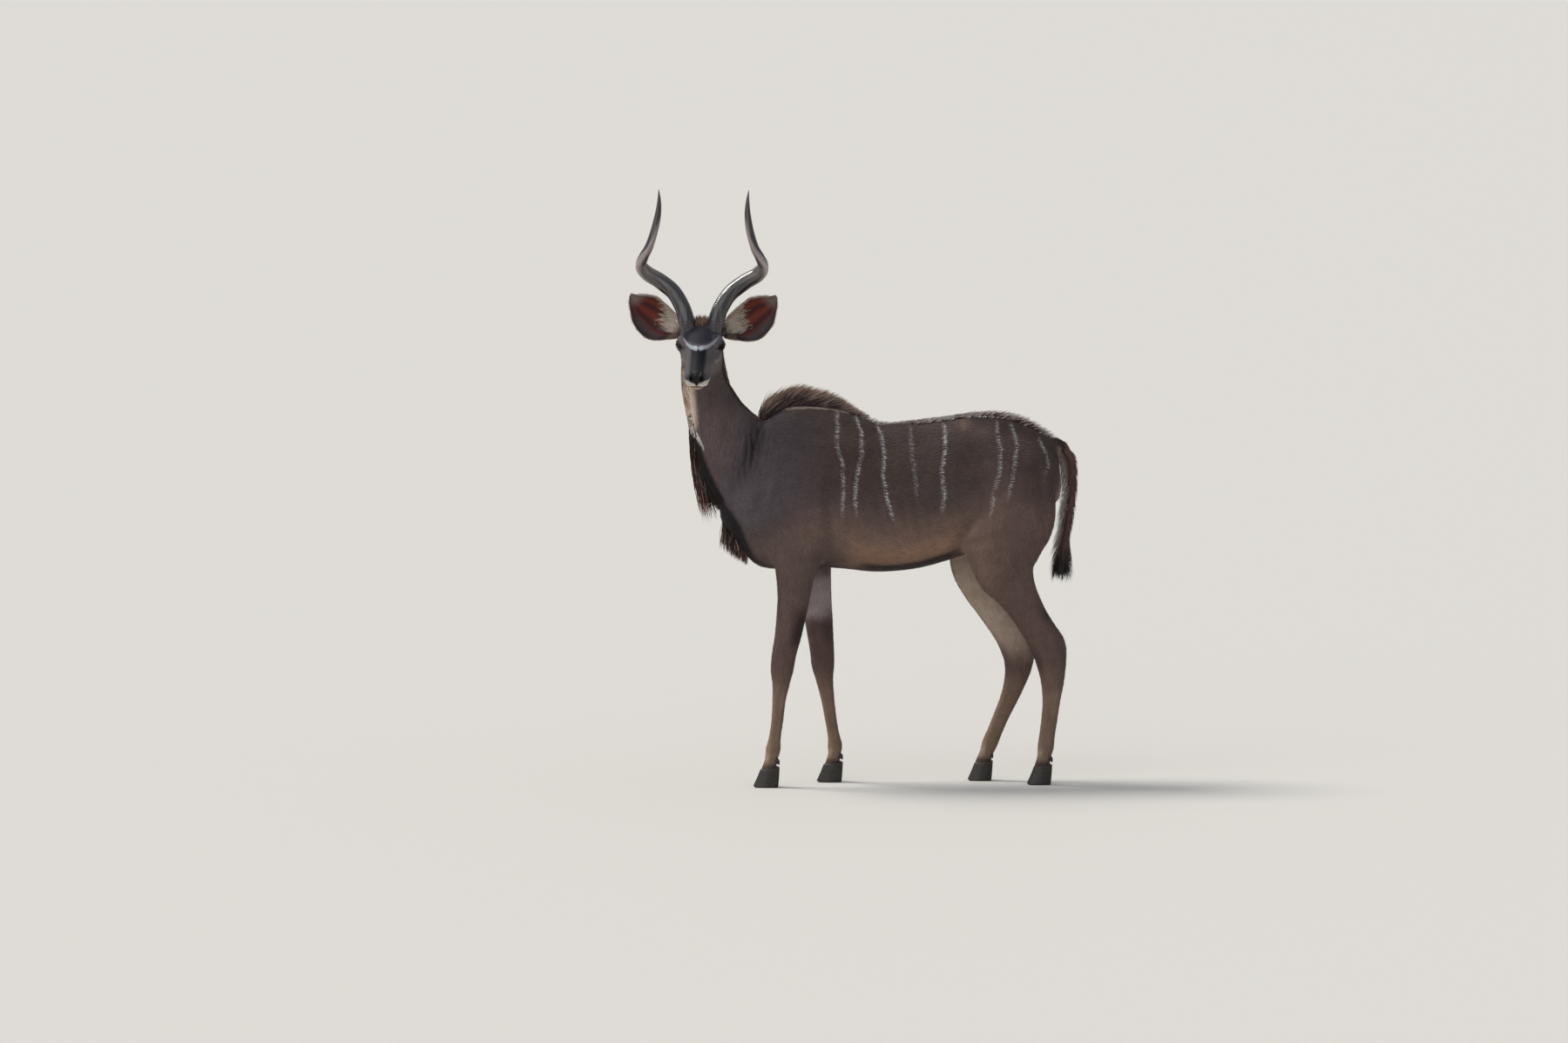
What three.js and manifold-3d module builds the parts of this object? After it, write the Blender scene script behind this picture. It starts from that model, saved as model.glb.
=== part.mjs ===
// Greater kudu, a young adult bull at life size: it stands with its left side toward -Y and its
// head turned to its left. Millimetres, +Z up, nose end of the body toward -X, hoof soles at z = 0.
import * as THREE from "three";
import { mergeVertices } from "three/addons/utils/BufferGeometryUtils.js";
import Module from "manifold-3d";

const wasm = await Module();
wasm.setup();

const GAP = 0.3; // between neighbouring nodes
const SPAN = 6000; // a box this wide holds the whole animal

// Where the head stands: the point midway between the eyes, and how the head is turned.
const EYES_AT = new THREE.Vector3(-570, -110, 1627);
const HEAD_YAW = -9.5; // degrees, its face looks along -Y and a little toward -X
const HEAD_ROLL = 0.5;
const FACE_DROP = 25; // how far the nose points below level

// The trunk, front to back: x, back line, belly line, height of greatest width, half width, and
// the length of the hair that stands along the back line.
const TRUNK = [
  [-478, 1090, 1000, 1040, 60, 0],
  [-462, 1180, 958, 1036, 104, 0],
  [-412, 1275, 888, 1028, 134, 0],
  [-340, 1345, 806, 1022, 156, 84],
  [-262, 1388, 792, 1020, 173, 108],
  [-190, 1399, 792, 1020, 186, 94],
  [-100, 1390, 797, 1015, 200, 74],
  [0, 1358, 790, 1005, 211, 44],
  [90, 1328, 780, 1000, 217, 34],
  [200, 1334, 788, 1010, 219, 32],
  [300, 1344, 814, 1030, 214, 32],
  [400, 1358, 850, 1070, 204, 34],
  [480, 1364, 880, 1105, 196, 36],
  [560, 1356, 905, 1130, 186, 38],
  [640, 1326, 925, 1140, 168, 40],
  [705, 1280, 955, 1140, 148, 42],
  [748, 1232, 1010, 1130, 112, 38],
  [768, 1190, 1075, 1130, 45, 30],
];

// The neck, from the skull down: x, y, z, half size toward the nape, half size toward the
// throat, half width.
const NECK = [
  [-556, 22, 1668, 50, 50, 48],
  [-553, 18, 1620, 68, 66, 62],
  [-548, 14, 1540, 76, 84, 66],
  [-536, 10, 1460, 84, 92, 70],
  [-508, 4, 1372, 106, 108, 78],
  [-470, 0, 1290, 138, 136, 90],
  [-425, 0, 1215, 165, 162, 106],
  [-368, 0, 1140, 160, 165, 122],
  [-290, 0, 1060, 120, 150, 126],
  [-200, 0, 1000, 80, 100, 90],
];

// The skull and muzzle along the line of the face, from the back of the head to the nose:
// distance ahead of the eyes, top, bottom and height of greatest width over the eye line,
// half width.
const SKULL = [
  [-138, 12, -50, -20, 26],
  [-122, 30, -92, -26, 52],
  [-95, 42, -118, -34, 66],
  [-55, 46, -122, -34, 71],
  [-15, 40, -112, -30, 70],
  [25, 26, -100, -26, 64],
  [65, 14, -88, -28, 54],
  [105, 8, -78, -30, 45],
  [145, 5, -68, -30, 43],
  [180, 3, -63, -30, 44],
  [205, -1, -60, -30, 43],
  [222, -9, -58, -32, 34],
  [232, -20, -48, -34, 18],
];

// Legs, from inside the trunk down to the top of the hooves: x, distance from the middle plane,
// z, half length fore and aft, half width.
const FORE_LEFT = [
  [-225, 92, 1060, 118, 52],
  [-222, 108, 960, 118, 62],
  [-216, 114, 860, 100, 64],
  [-222, 112, 780, 76, 60],
  [-228, 106, 690, 62, 50],
  [-245, 102, 570, 52, 42],
  [-261, 99, 492, 47, 39],
  [-269, 98, 432, 44, 39],
  [-273, 97, 378, 34, 31],
  [-280, 96, 320, 27, 24],
  [-286, 95, 246, 24, 22],
  [-295, 94, 182, 24, 23],
  [-301, 93, 140, 29, 28],
  [-309, 93, 100, 25, 26],
  [-318, 93, 58, 30, 31],
  [-324, 93, 30, 30, 31],
];
const FORE_RIGHT = [
  [-200, 92, 1060, 118, 52],
  [-185, 108, 960, 118, 62],
  [-160, 114, 860, 100, 64],
  [-136, 112, 780, 76, 60],
  [-122, 106, 690, 60, 50],
  [-109, 102, 570, 52, 42],
  [-101, 99, 492, 47, 39],
  [-97, 98, 432, 44, 39],
  [-91, 97, 378, 34, 31],
  [-80, 96, 310, 27, 24],
  [-69, 95, 236, 24, 22],
  [-58, 94, 172, 24, 23],
  [-53, 93, 134, 29, 28],
  [-56, 93, 98, 25, 26],
  [-64, 93, 58, 30, 31],
  [-70, 93, 30, 30, 31],
];
const HIND_LEFT = [
  [590, 84, 1200, 110, 58],
  [586, 106, 1110, 150, 74],
  [572, 118, 1010, 172, 80],
  [552, 122, 930, 168, 78],
  [546, 121, 862, 148, 72],
  [556, 115, 785, 117, 61],
  [588, 108, 722, 86, 50],
  [620, 104, 668, 70, 43],
  [652, 101, 612, 64, 39],
  [684, 99, 560, 64, 37],
  [714, 97, 506, 68, 36],
  [726, 96, 444, 57, 33],
  [730, 95, 378, 45, 28],
  [726, 94, 306, 35, 25],
  [719, 93, 240, 32, 24],
  [711, 92, 182, 31, 24],
  [706, 92, 138, 32, 28],
  [699, 92, 100, 27, 27],
  [691, 92, 58, 31, 31],
  [686, 92, 30, 31, 31],
];
const HIND_RIGHT = [
  [590, 84, 1200, 110, 58],
  [584, 106, 1110, 150, 74],
  [562, 118, 1010, 172, 80],
  [530, 122, 930, 168, 78],
  [508, 121, 860, 148, 72],
  [494, 115, 785, 120, 61],
  [506, 108, 715, 90, 50],
  [530, 104, 655, 70, 43],
  [562, 101, 598, 62, 39],
  [597, 99, 540, 60, 37],
  [626, 97, 482, 64, 36],
  [628, 96, 424, 54, 33],
  [615, 95, 364, 43, 28],
  [592, 94, 300, 35, 25],
  [563, 93, 235, 31, 24],
  [541, 92, 183, 30, 24],
  [523, 92, 140, 31, 28],
  [508, 92, 100, 27, 27],
  [494, 92, 58, 31, 31],
  [488, 92, 30, 31, 31],
];
const HOOF_TOP = 62; // height of the coronet at the toe
const HOOF = { length: 88, width: 30, between: 7, heel: 34 };

// The tail's flesh, from inside the rump down: x, y, z, half depth, half width.
const TAIL = [
  [735, 0, 1262, 26, 26],
  [775, 0, 1238, 24, 25],
  [802, 0, 1196, 17, 21],
  [813, 0, 1140, 14, 19],
  [812, 0, 1060, 13, 18],
  [801, 0, 970, 12, 16],
  [787, 0, 890, 10, 13],
  [778, 0, 830, 8, 10],
  [775, 0, 800, 4, 5],
];

// A horn's middle line from its foot: out from the middle of the head, back, up, thickness.
const HORN = [
  [43, 34, 18, 50],
  [50, 34, 66, 60],
  [56, 36, 92, 61],
  [72, 50, 135, 59],
  [108, 70, 190, 57],
  [154, 80, 228, 55],
  [200, 76, 256, 52],
  [222, 58, 286, 46],
  [212, 42, 318, 40],
  [193, 38, 354, 35],
  [176, 48, 408, 30],
  [166, 72, 466, 23],
  [163, 96, 520, 14],
  [165, 108, 560, 3],
];
const HORN_FOOT = [53, 35, 80]; // out, back and up of the point where a horn leaves the head
const KEEL = { rise: 0.28, narrow: 0.5, start: -80, turn: 400 };

// An ear, from its root to its tip: out, back, up, depth of the cup, half width.
const EAR = [
  [66, 92, 38, 22, 22],
  [92, 98, 44, 32, 37],
  [126, 113, 54, 44, 58],
  [160, 122, 69, 46, 71],
  [185, 129, 87, 44, 73],
  [206, 133, 107, 40, 70],
  [226, 136, 122, 32, 59],
  [243, 137, 139, 24, 41],
  [258, 137, 154, 15, 23],
  [269, 137, 172, 6, 6],
];
const EAR_WALL = 5;

// Long hair: each lock's thickness, point and how far it is sunk, and where the locks stand.
const LOCK = { thick: 4.5, tip: 0.4, sunk: 12, bend: 0.28 };
// The slope of the back's hair over level, in radians: it stands at the front of the mane.
const LEAN = { front: 1.9, mane: 1.0, crest: 0.5, over: 150 };
const MANE = { from: -336, to: 20, count: 30, width: 28 };
const CREST = { from: 20, to: 764, count: 20, width: 32 };
const NAPE = { from: 1.3, to: 5.2, count: 9, length: 34, width: 30 };
const FRINGE = { from: 4.35, to: 6.9, count: 22, ends: 70, length: 185, spread: 16, width: 29 };
const BREAST = { from: -466, to: -395, count: 8, length: 112, spread: 20, width: 27 };
const SWITCH = { along: 5, short: 55, tuft: 11, end: 728, width: 18 };

const EYE = { out: 57, ahead: -2, up: -2, radius: 20 };
const DEG = Math.PI / 180;

const COLOURS = {
  coat: 0x6f655c,
  slate: 0x54524f,
  horn: 0x2c2724,
  hoof: 0x1f1c1a,
  eye: 0x0b0908,
  ear: 0x8a7a6c,
};

const vec = (x, y, z) => new THREE.Vector3(x, y, z);

// The head's two frames: level, for horns and ears, and along the face, for the skull.
const levelFrame = new THREE.Matrix4()
  .makeTranslation(EYES_AT.x, EYES_AT.y, EYES_AT.z)
  .multiply(new THREE.Matrix4().makeRotationZ(HEAD_YAW * DEG))
  .multiply(new THREE.Matrix4().makeRotationY(HEAD_ROLL * DEG));
const faceFrame = levelFrame
  .clone()
  .multiply(new THREE.Matrix4().makeRotationX(FACE_DROP * DEG));
// In both frames +x is toward the animal's left ear, -y is ahead and +z is up.
const inLevel = (side, out, back, up) => vec(side * out, back, up).applyMatrix4(levelFrame);
const inFace = (side, out, ahead, up) => vec(side * out, -ahead, up).applyMatrix4(faceFrame);

// A geometry as a solid, and a solid's largest closed surface.
function solid(geometry) {
  const bare = geometry.clone();
  bare.deleteAttribute("normal");
  bare.deleteAttribute("uv");
  const merged = mergeVertices(bare, 1e-4);
  const made = new wasm.Manifold(
    new wasm.Mesh({
      numProp: 3,
      vertProperties: merged.attributes.position.array,
      triVerts: new Uint32Array(merged.index.array),
    }),
  );
  return made;
}
function largest(shape) {
  return shape.decompose().sort((p, q) => q.volume() - p.volume())[0];
}
const joined = (shapes) => shapes.reduce((all, next) => all.add(next));

// A number read between the rows of a table, with a smooth curve through them.
function between(rows, t, column) {
  const at = (i) => rows[Math.min(Math.max(i, 0), rows.length - 1)][column];
  const i = Math.min(Math.floor(t), rows.length - 2);
  const f = t - i;
  const [p, q, r, s] = [at(i - 1), at(i), at(i + 1), at(i + 2)];
  const [slopeIn, slopeOut] = [(r - p) / 2, (s - q) / 2];
  const bend = 2 * (q - r) + slopeIn + slopeOut;
  return q + f * (slopeIn + f * (3 * (r - q) - 2 * slopeIn - slopeOut + f * bend));
}

// A closed skin over rings of points, each ring with the same count, and flat at both ends.
function skinOver(rings) {
  const count = rings[0].length;
  const points = rings.flat();
  const middle = (ring) => ring.reduce((sum, p) => sum.add(p), vec(0, 0, 0)).divideScalar(count);
  const first = points.push(middle(rings[0])) - 1;
  const last = points.push(middle(rings.at(-1))) - 1;
  const faces = [];
  for (let i = 0; i < count; i++) {
    const j = (i + 1) % count;
    const end = (rings.length - 1) * count;
    faces.push(first, j, i, last, end + i, end + j);
    for (let k = 0; k < rings.length - 1; k++) {
      const [a, b, c, d] = [k * count + i, k * count + j, (k + 1) * count + i, (k + 1) * count + j];
      faces.push(a, b, d, a, d, c);
    }
  }
  const geometry = new THREE.BufferGeometry().setFromPoints(points);
  geometry.setIndex(faces);
  const made = solid(geometry);
  if (made.volume() > 0) return made;
  for (let i = 0; i < faces.length; i += 3) {
    [faces[i + 1], faces[i + 2]] = [faces[i + 2], faces[i + 1]];
  }
  geometry.setIndex(faces);
  return solid(geometry);
}

// A rounded body along a middle line. section(t) gives its centre, the half sizes a and b on the
// two sides of its depth, the half width w, and how square each of the two sides is. The sections
// lie square to way, or else to the middle line.
function loft(section, last, { sides, rings, across = vec(0, 1, 0), way }) {
  const step = last / (rings - 1);
  const loops = [];
  for (let k = 0; k < rings; k++) {
    const t = k * step;
    const s = section(t);
    const before = section(Math.max(t - 0.05, 0)).centre;
    const after = section(Math.min(t + 0.05, last)).centre;
    const along = way ?? after.clone().sub(before).normalize();
    const depth = along.clone().cross(across).normalize();
    const wide = depth.clone().cross(along).normalize();
    const loop = [];
    for (let i = 0; i < sides; i++) {
      const angle = ((i + 0.5) / sides) * 2 * Math.PI;
      const [c, n] = [Math.cos(angle), Math.sin(angle)];
      const power = c > 0 ? (s.squareA ?? 2) : (s.squareB ?? 2);
      const r = (Math.abs(c) ** power + Math.abs(n) ** power) ** (-1 / power);
      const reach = c * r * (c > 0 ? s.a : s.b);
      loop.push(s.centre.clone().addScaledVector(depth, reach).addScaledVector(wide, n * r * s.w));
    }
    loops.push(loop);
  }
  return skinOver(loops);
}

function trunk() {
  const section = (t) => {
    const [x, top, bottom, middle, half] = [0, 1, 2, 3, 4].map((c) => between(TRUNK, t, c));
    return { centre: vec(x, 0, middle), a: top - middle, b: middle - bottom, w: half, squareA: 1.75 };
  };
  return loft(section, TRUNK.length - 1, { sides: 22, rings: 24 });
}

function neck() {
  const section = (t) => {
    const [x, y, z, a, b, w] = [0, 1, 2, 3, 4, 5].map((c) => between(NECK, t, c));
    return { centre: vec(x, y, z), a, b, w };
  };
  return loft(section, NECK.length - 1, { sides: 18, rings: 14 });
}

function ball(at, radii, turn = new THREE.Matrix4(), fine = 12) {
  const geometry = new THREE.SphereGeometry(1, fine, Math.round(fine * 0.7));
  geometry.scale(...radii).applyMatrix4(turn);
  geometry.translate(at.x, at.y, at.z);
  return solid(geometry);
}
const faceTurn = new THREE.Matrix4().extractRotation(faceFrame);

function leg(rows, side, rings) {
  const section = (t) => {
    const [x, y, z, fore, half] = [0, 1, 2, 3, 4].map((c) => between(rows, t, c));
    return { centre: vec(x, side * y, z), a: fore, b: fore, w: half };
  };
  return loft(section, rows.length - 1, { sides: 12, rings });
}

function tailFlesh() {
  const section = (t) => {
    const [x, y, z, deep, half] = [0, 1, 2, 3, 4].map((c) => between(TAIL, t, c));
    return { centre: vec(x, y, z), a: deep, b: deep, w: half };
  };
  return loft(section, TAIL.length - 1, { sides: 10, rings: 15 });
}

// The head without horns and ears, its sockets open and the mouth parted.
function skull() {
  const section = (t) => {
    const [ahead, top, bottom, middle, half] = [0, 1, 2, 3, 4].map((c) => between(SKULL, t, c));
    return { centre: inFace(1, 0, ahead, middle), a: top - middle, b: middle - bottom, w: half };
  };
  const across = vec(-1, 0, 0).transformDirection(faceFrame);
  let head = loft(section, SKULL.length - 1, { sides: 18, rings: 18, across });
  for (const side of [-1, 1]) {
    head = joined([
      head,
      ball(inFace(side, 52, EYE.ahead, EYE.up + 2), [28, 40, 30], faceTurn, 10), // orbit and brow
      ball(inFace(side, 46, -48, -62), [25, 58, 46], faceTurn, 10), // cheek
      ball(inFace(side, 25, 208, -20), [17, 22, 18], faceTurn, 8), // nostril wing
      ball(inFace(side, 22, 212, -49), [20, 18, 11], faceTurn, 8), // upper lip
    ]);
  }
  head = head.add(ball(inFace(1, 0, 196, -65), [26, 30, 12], faceTurn, 8)); // chin
  return head;
}

function openFace(head) {
  let open = head;
  for (const side of [-1, 1]) {
    const eye = inFace(side, EYE.out, EYE.ahead, EYE.up);
    open = open.add(ball(eye, [23, 25, 21], faceTurn, 12)); // lids round the eye
    const slit = inFace(side, EYE.out + 17, EYE.ahead + 5, EYE.up);
    open = open.subtract(ball(slit, [15, 19, 9], faceTurn, 8));
    open = open.subtract(ball(eye, [1, 1, 1].map(() => EYE.radius + GAP), faceTurn, 12));
    open = open.subtract(ball(inFace(side, 20, 224, -20), [8, 17, 6], faceTurn, 8)); // nostril
  }
  // The line of the mouth: a thin gap that rises toward its corners.
  const reach = 120;
  const line = new THREE.Shape();
  line.moveTo(reach, -53).quadraticCurveTo(190, -61, 250, -58);
  line.lineTo(250, -55.5).quadraticCurveTo(190, -58.5, reach, -52.4);
  const gap = new THREE.ExtrudeGeometry(line, { depth: 140, bevelEnabled: false, curveSegments: 6 });
  gap.translate(0, 0, -70).applyMatrix4(
    new THREE.Matrix4().makeBasis(vec(0, -1, 0), vec(0, 0, 1), vec(-1, 0, 0)).premultiply(faceFrame),
  );
  return open.subtract(solid(gap));
}

// A horn: its keel winds round it once and a little more, as the horn itself winds.
function horn(side) {
  const sides = 10;
  const rings = 28;
  const last = HORN.length - 1;
  const place = (t) => inLevel(side, between(HORN, t, 0), between(HORN, t, 1), between(HORN, t, 2));
  const loops = [];
  for (let k = 0; k < rings; k++) {
    const t = (k / (rings - 1)) * last;
    const along = place(Math.min(t + 0.05, last)).sub(place(Math.max(t - 0.05, 0))).normalize();
    const ahead = along.clone().cross(vec(side, 0, 0).transformDirection(levelFrame)).normalize();
    const wide = ahead.clone().cross(along);
    const thick = between(HORN, t, 3) / 2;
    const keel = (KEEL.start + (KEEL.turn * t) / last) * DEG;
    loops.push(
      Array.from({ length: sides }, (_, i) => {
        const angle = (i / sides) * 2 * Math.PI + keel;
        const off = Math.atan2(Math.sin(angle - keel), Math.cos(angle - keel));
        const r = thick * (0.92 + KEEL.rise * Math.exp(-((off / KEEL.narrow) ** 2)));
        return place(t)
          .addScaledVector(ahead, r * Math.cos(angle) * side)
          .addScaledVector(wide, r * Math.sin(angle));
      }),
    );
  }
  return skinOver(loops);
}

function ear(side) {
  const at = (t) => inLevel(side, between(EAR, t, 0), between(EAR, t, 1), between(EAR, t, 2));
  // Across the ear: level with its face, square to its length.
  const face = vec(0, -1, 0).transformDirection(levelFrame);
  const leaf = (from, grow, push) => {
    const last = EAR.length - 1;
    const section = (u) => {
      const t = from + u;
      const w = Math.max(between(EAR, t, 4) - grow, 1.5);
      const deep = Math.max(between(EAR, t, 3) - grow, 1.2);
      return { centre: at(t).addScaledVector(face, push), a: deep, b: grow ? 60 : 5, w };
    };
    const along = at(last).sub(at(0)).normalize();
    const across = along.clone().cross(face).multiplyScalar(-side);
    const sign = along.clone().cross(across).dot(face) < 0 ? 1 : -1;
    return loft(section, last - from - (grow ? 0.35 : 0), {
      sides: 14,
      rings: grow ? 9 : 10,
      across: across.multiplyScalar(sign),
      way: along,
    });
  };
  return leaf(0, 0, 0).subtract(leaf(1.3, EAR_WALL, 0));
}

// One claw of a foot: a rounded wedge with a flat sole, its toe toward -X.
function claw(x, y, side, scale) {
  const ring = (z, grow, shift) =>
    Array.from({ length: 12 }, (_, i) => {
      const angle = (i / 12) * 2 * Math.PI;
      const c = Math.cos(angle);
      const half = (HOOF.length / 2) * scale * grow;
      const pinch = c < 0 ? 1 - 0.45 * c * c : 1 - 0.15 * c * c;
      const out = (HOOF.width / 2) * grow * pinch * Math.sin(angle);
      return vec(x - HOOF.length / 2 + HOOF.heel + shift + c * half, y + side * 1 + out, z);
    });
  return skinOver([ring(0, 0.97, 0), ring(5, 1, 0), ring(38, 0.86, 9), ring(HOOF_TOP + 16, 0.7, 18)]);
}

function dewclaw(x, y, z) {
  const cone = new THREE.ConeGeometry(9, 30, 8);
  cone.rotateX(-Math.PI / 2).rotateY(-25 * DEG).translate(x, y, z);
  return solid(cone);
}

// A flat, tapered lock of hair. It leaves its root along lean, is drawn round toward pull, and
// its broad faces look along flat.
function lock({ root, lean, pull, flat, length, width }) {
  const steps = 3;
  const at = root.clone().addScaledVector(lean.clone().normalize(), -LOCK.sunk);
  const along = lean.clone().normalize();
  const loops = [];
  for (let k = 0; k <= steps; k++) {
    const f = k / steps;
    const broad = Math.max((width / 2) * (0.75 + 0.9 * f) * (1 - f ** 1.8), LOCK.tip);
    const thin = Math.max((LOCK.thick / 2) * (1 - 0.75 * f), LOCK.tip);
    const side = along.clone().cross(flat).normalize().multiplyScalar(broad);
    const face = side.clone().cross(along).normalize().multiplyScalar(thin);
    loops.push([side, face, side.clone().negate(), face.clone().negate()].map((v) => v.add(at)));
    at.addScaledVector(along, (length + LOCK.sunk) / steps);
    along.lerp(pull, LOCK.bend).normalize();
  }
  return skinOver(loops);
}

// The same draws every time.
let seed = 41;
function random(low, high) {
  seed = (seed * 16807) % 2147483647;
  return low + ((high - low) * seed) / 2147483647;
}

// Where along the rows of a table the first column reaches x.
function whereX(rows, x) {
  let [low, high] = [0, rows.length - 1];
  for (let i = 0; i < 30; i++) {
    const middle = (low + high) / 2;
    if (between(rows, middle, 0) < x) low = middle;
    else high = middle;
  }
  return low;
}

// The mane over the withers and the low crest behind it, in two rows that lean back.
function backLocks(from, to, count, width) {
  return Array.from({ length: count }, (_, k) => {
    const x = from + ((to - from) * (k + random(0.1, 0.9))) / count;
    const t = whereX(TRUNK, x);
    const side = k % 2 ? 1 : -1;
    const long = between(TRUNK, t, 5) * random(0.85, 1.12);
    const behind = LEAN.crest + (LEAN.mane - LEAN.crest) * Math.min(Math.max((long - 40) / 60, 0), 1);
    const upright = behind + (LEAN.front - LEAN.mane) * Math.max(1 - (x - MANE.from) / LEAN.over, 0);
    return lock({
      root: vec(x, side * random(2, 9), between(TRUNK, t, 1) - 4),
      lean: vec(Math.cos(upright), side * random(0.02, 0.2), Math.sin(upright)),
      pull: vec(1, side * 0.1, 0.25),
      flat: vec(random(-0.3, 0.3), 1, 0),
      length: long,
      width: width * random(0.85, 1.2),
    });
  });
}

// A point on the neck's middle plane, on its nape or its throat, and the way down along it.
function onNeck(t, toNape) {
  const centre = (u) => vec(...[0, 1, 2].map((c) => between(NECK, u, c)));
  const down = centre(t + 0.05).sub(centre(t - 0.05)).normalize();
  const nape = down.clone().cross(vec(0, 1, 0)).normalize();
  const reach = toNape ? between(NECK, t, 3) : -between(NECK, t, 4);
  return { at: centre(t).addScaledVector(nape, reach), down, out: nape.multiplyScalar(Math.sign(reach)) };
}

function napeLocks() {
  return Array.from({ length: NAPE.count }, (_, k) => {
    const { at, down, out } = onNeck(NAPE.from + ((NAPE.to - NAPE.from) * k) / NAPE.count, true);
    const side = k % 2 ? 1 : -1;
    return lock({
      root: at.add(vec(0, side * random(1, 7), 0)).addScaledVector(out, -3),
      lean: down.clone().addScaledVector(out, random(0.5, 0.8)),
      pull: down,
      flat: vec(random(-0.3, 0.3), 1, 0),
      length: NAPE.length * random(0.85, 1.2),
      width: NAPE.width,
    });
  });
}

// The fringe under the throat: longest half way down, and it hangs from the middle plane.
function fringeLocks() {
  return Array.from({ length: FRINGE.count }, (_, k) => {
    const f = (k + random(0.1, 0.9)) / FRINGE.count;
    const { at, down, out } = onNeck(FRINGE.from + (FRINGE.to - FRINGE.from) * f, false);
    const side = random(-1, 1);
    const long = FRINGE.ends + (FRINGE.length - FRINGE.ends) * Math.sin(Math.PI * f ** 0.8);
    return lock({
      root: at.add(vec(0, side * FRINGE.spread, 0)).addScaledVector(out, -5),
      lean: down.clone().addScaledVector(out, random(0.25, 0.6)).add(vec(0, side * 0.15, 0)),
      pull: vec(random(-0.05, 0.25), side * 0.06, -1),
      flat: vec(random(-0.5, 0.5), 1, 0),
      length: long * random(0.75, 1.15),
      width: FRINGE.width * random(0.8, 1.2),
    });
  });
}

// The tuft on the breast, where the fringe ends.
function breastLocks() {
  return Array.from({ length: BREAST.count }, (_, k) => {
    const x = BREAST.from + ((BREAST.to - BREAST.from) * (k + random(0.2, 0.8))) / BREAST.count;
    const t = whereX(TRUNK, x);
    const side = random(-1, 1);
    return lock({
      root: vec(x, side * BREAST.spread, between(TRUNK, t, 2) + 8),
      lean: vec(random(-0.5, -0.15), side * 0.2, -0.9),
      pull: vec(random(-0.1, 0.2), side * 0.05, -1),
      flat: vec(random(-0.5, 0.5), 1, 0),
      length: BREAST.length * random(0.75, 1.1) * (1 - (0.55 * k) / BREAST.count),
      width: BREAST.width * random(0.8, 1.2),
    });
  });
}

// Hair down the back of the tail, and the tuft round its end.
function tailLocks() {
  const at = (t) => vec(...[0, 1, 2].map((c) => between(TAIL, t, c)));
  const down = (t) => at(t + 0.05).sub(at(t - 0.05)).normalize();
  const along = Array.from({ length: SWITCH.along }, (_, k) => {
    const t = 2.2 + (4.2 * (k + random(0, 0.6))) / SWITCH.along;
    const side = k % 2 ? 1 : -1;
    const out = vec(0.55, side, 0).normalize();
    return lock({
      root: at(t).addScaledVector(out, between(TAIL, t, 4) * 0.7),
      lean: down(t).addScaledVector(out, 0.4),
      pull: down(t),
      flat: out,
      length: SWITCH.short * random(0.8, 1.2),
      width: SWITCH.width,
    });
  });
  const tuft = Array.from({ length: SWITCH.tuft }, (_, k) => {
    const angle = (k / SWITCH.tuft) * 2 * Math.PI * 2.4;
    const t = 6.2 + (1.6 * k) / SWITCH.tuft;
    const out = vec(Math.cos(angle), Math.sin(angle), 0);
    return lock({
      root: at(t).addScaledVector(out, 3),
      lean: down(t).addScaledVector(out, random(0.25, 0.45)),
      pull: vec(0.05, 0, -1),
      flat: out,
      length: (SWITCH.end - at(t).z) * -random(0.85, 1.02),
      width: SWITCH.width * random(1, 1.3),
    });
  });
  return [...along, ...tuft];
}

// Half spaces that part the body. Each keeps what lies on the side its direction points to.
const plane = (point, direction) => ({ point, direction: direction.clone().normalize() });
function inside(shape, planes, grow = 0) {
  return planes.reduce((rest, { point, direction }) => {
    const n = [direction.x, direction.y, direction.z];
    return rest.trimByPlane(n, point.dot(direction) - grow);
  }, shape);
}
const everything = () => solid(new THREE.BoxGeometry(SPAN, SPAN, SPAN));
const away = (planes) => planes.map((p) => plane(p.point, p.direction.clone().negate()));

const LEGS = {
  foreleg_left: { rows: FORE_LEFT, side: -1, hind: false },
  foreleg_right: { rows: FORE_RIGHT, side: 1, hind: false },
  hindleg_left: { rows: HIND_LEFT, side: -1, hind: true },
  hindleg_right: { rows: HIND_RIGHT, side: 1, hind: true },
};
function legPlanes({ side, hind }) {
  return hind
    ? [
        plane(vec(0, side * 15, 850), vec(0, side * 0.62, -0.78)),
        plane(vec(0, side * 5, 0), vec(0, side, 0)),
        plane(vec(375, 0, 850), vec(1, 0, -0.4)),
      ]
    : [
        plane(vec(0, side * 20, 778), vec(0, side * 0.5, -0.86)),
        plane(vec(0, side * 5, 0), vec(0, side, 0)),
        plane(vec(-62, 0, 790), vec(-1, 0, -0.3)),
      ];
}
const HEAD_CUT = [
  plane(
    inLevel(1, 0, 40, -130),
    vec(0, -0.922, 0.388).transformDirection(levelFrame),
  ),
];
const NECK_CUT = [plane(vec(-345, 0, 1370), vec(-0.97, 0, 0.24))];
const TAIL_CUT = [
  plane(vec(784, 0, 1225), vec(1, 0, -0.1)),
  plane(vec(0, 0, 650), vec(0, 0, 1)),
];
const coronet = (x) => plane(vec(x - 40, 0, HOOF_TOP), vec(0.16, 0, -1));

const nodes = {};
const pieces = Object.values(LEGS).map(({ rows, side, hind }) => leg(rows, side, hind ? 21 : 18));
let body = joined([trunk(), neck(), ...pieces, tailFlesh(), skull()]);

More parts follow.
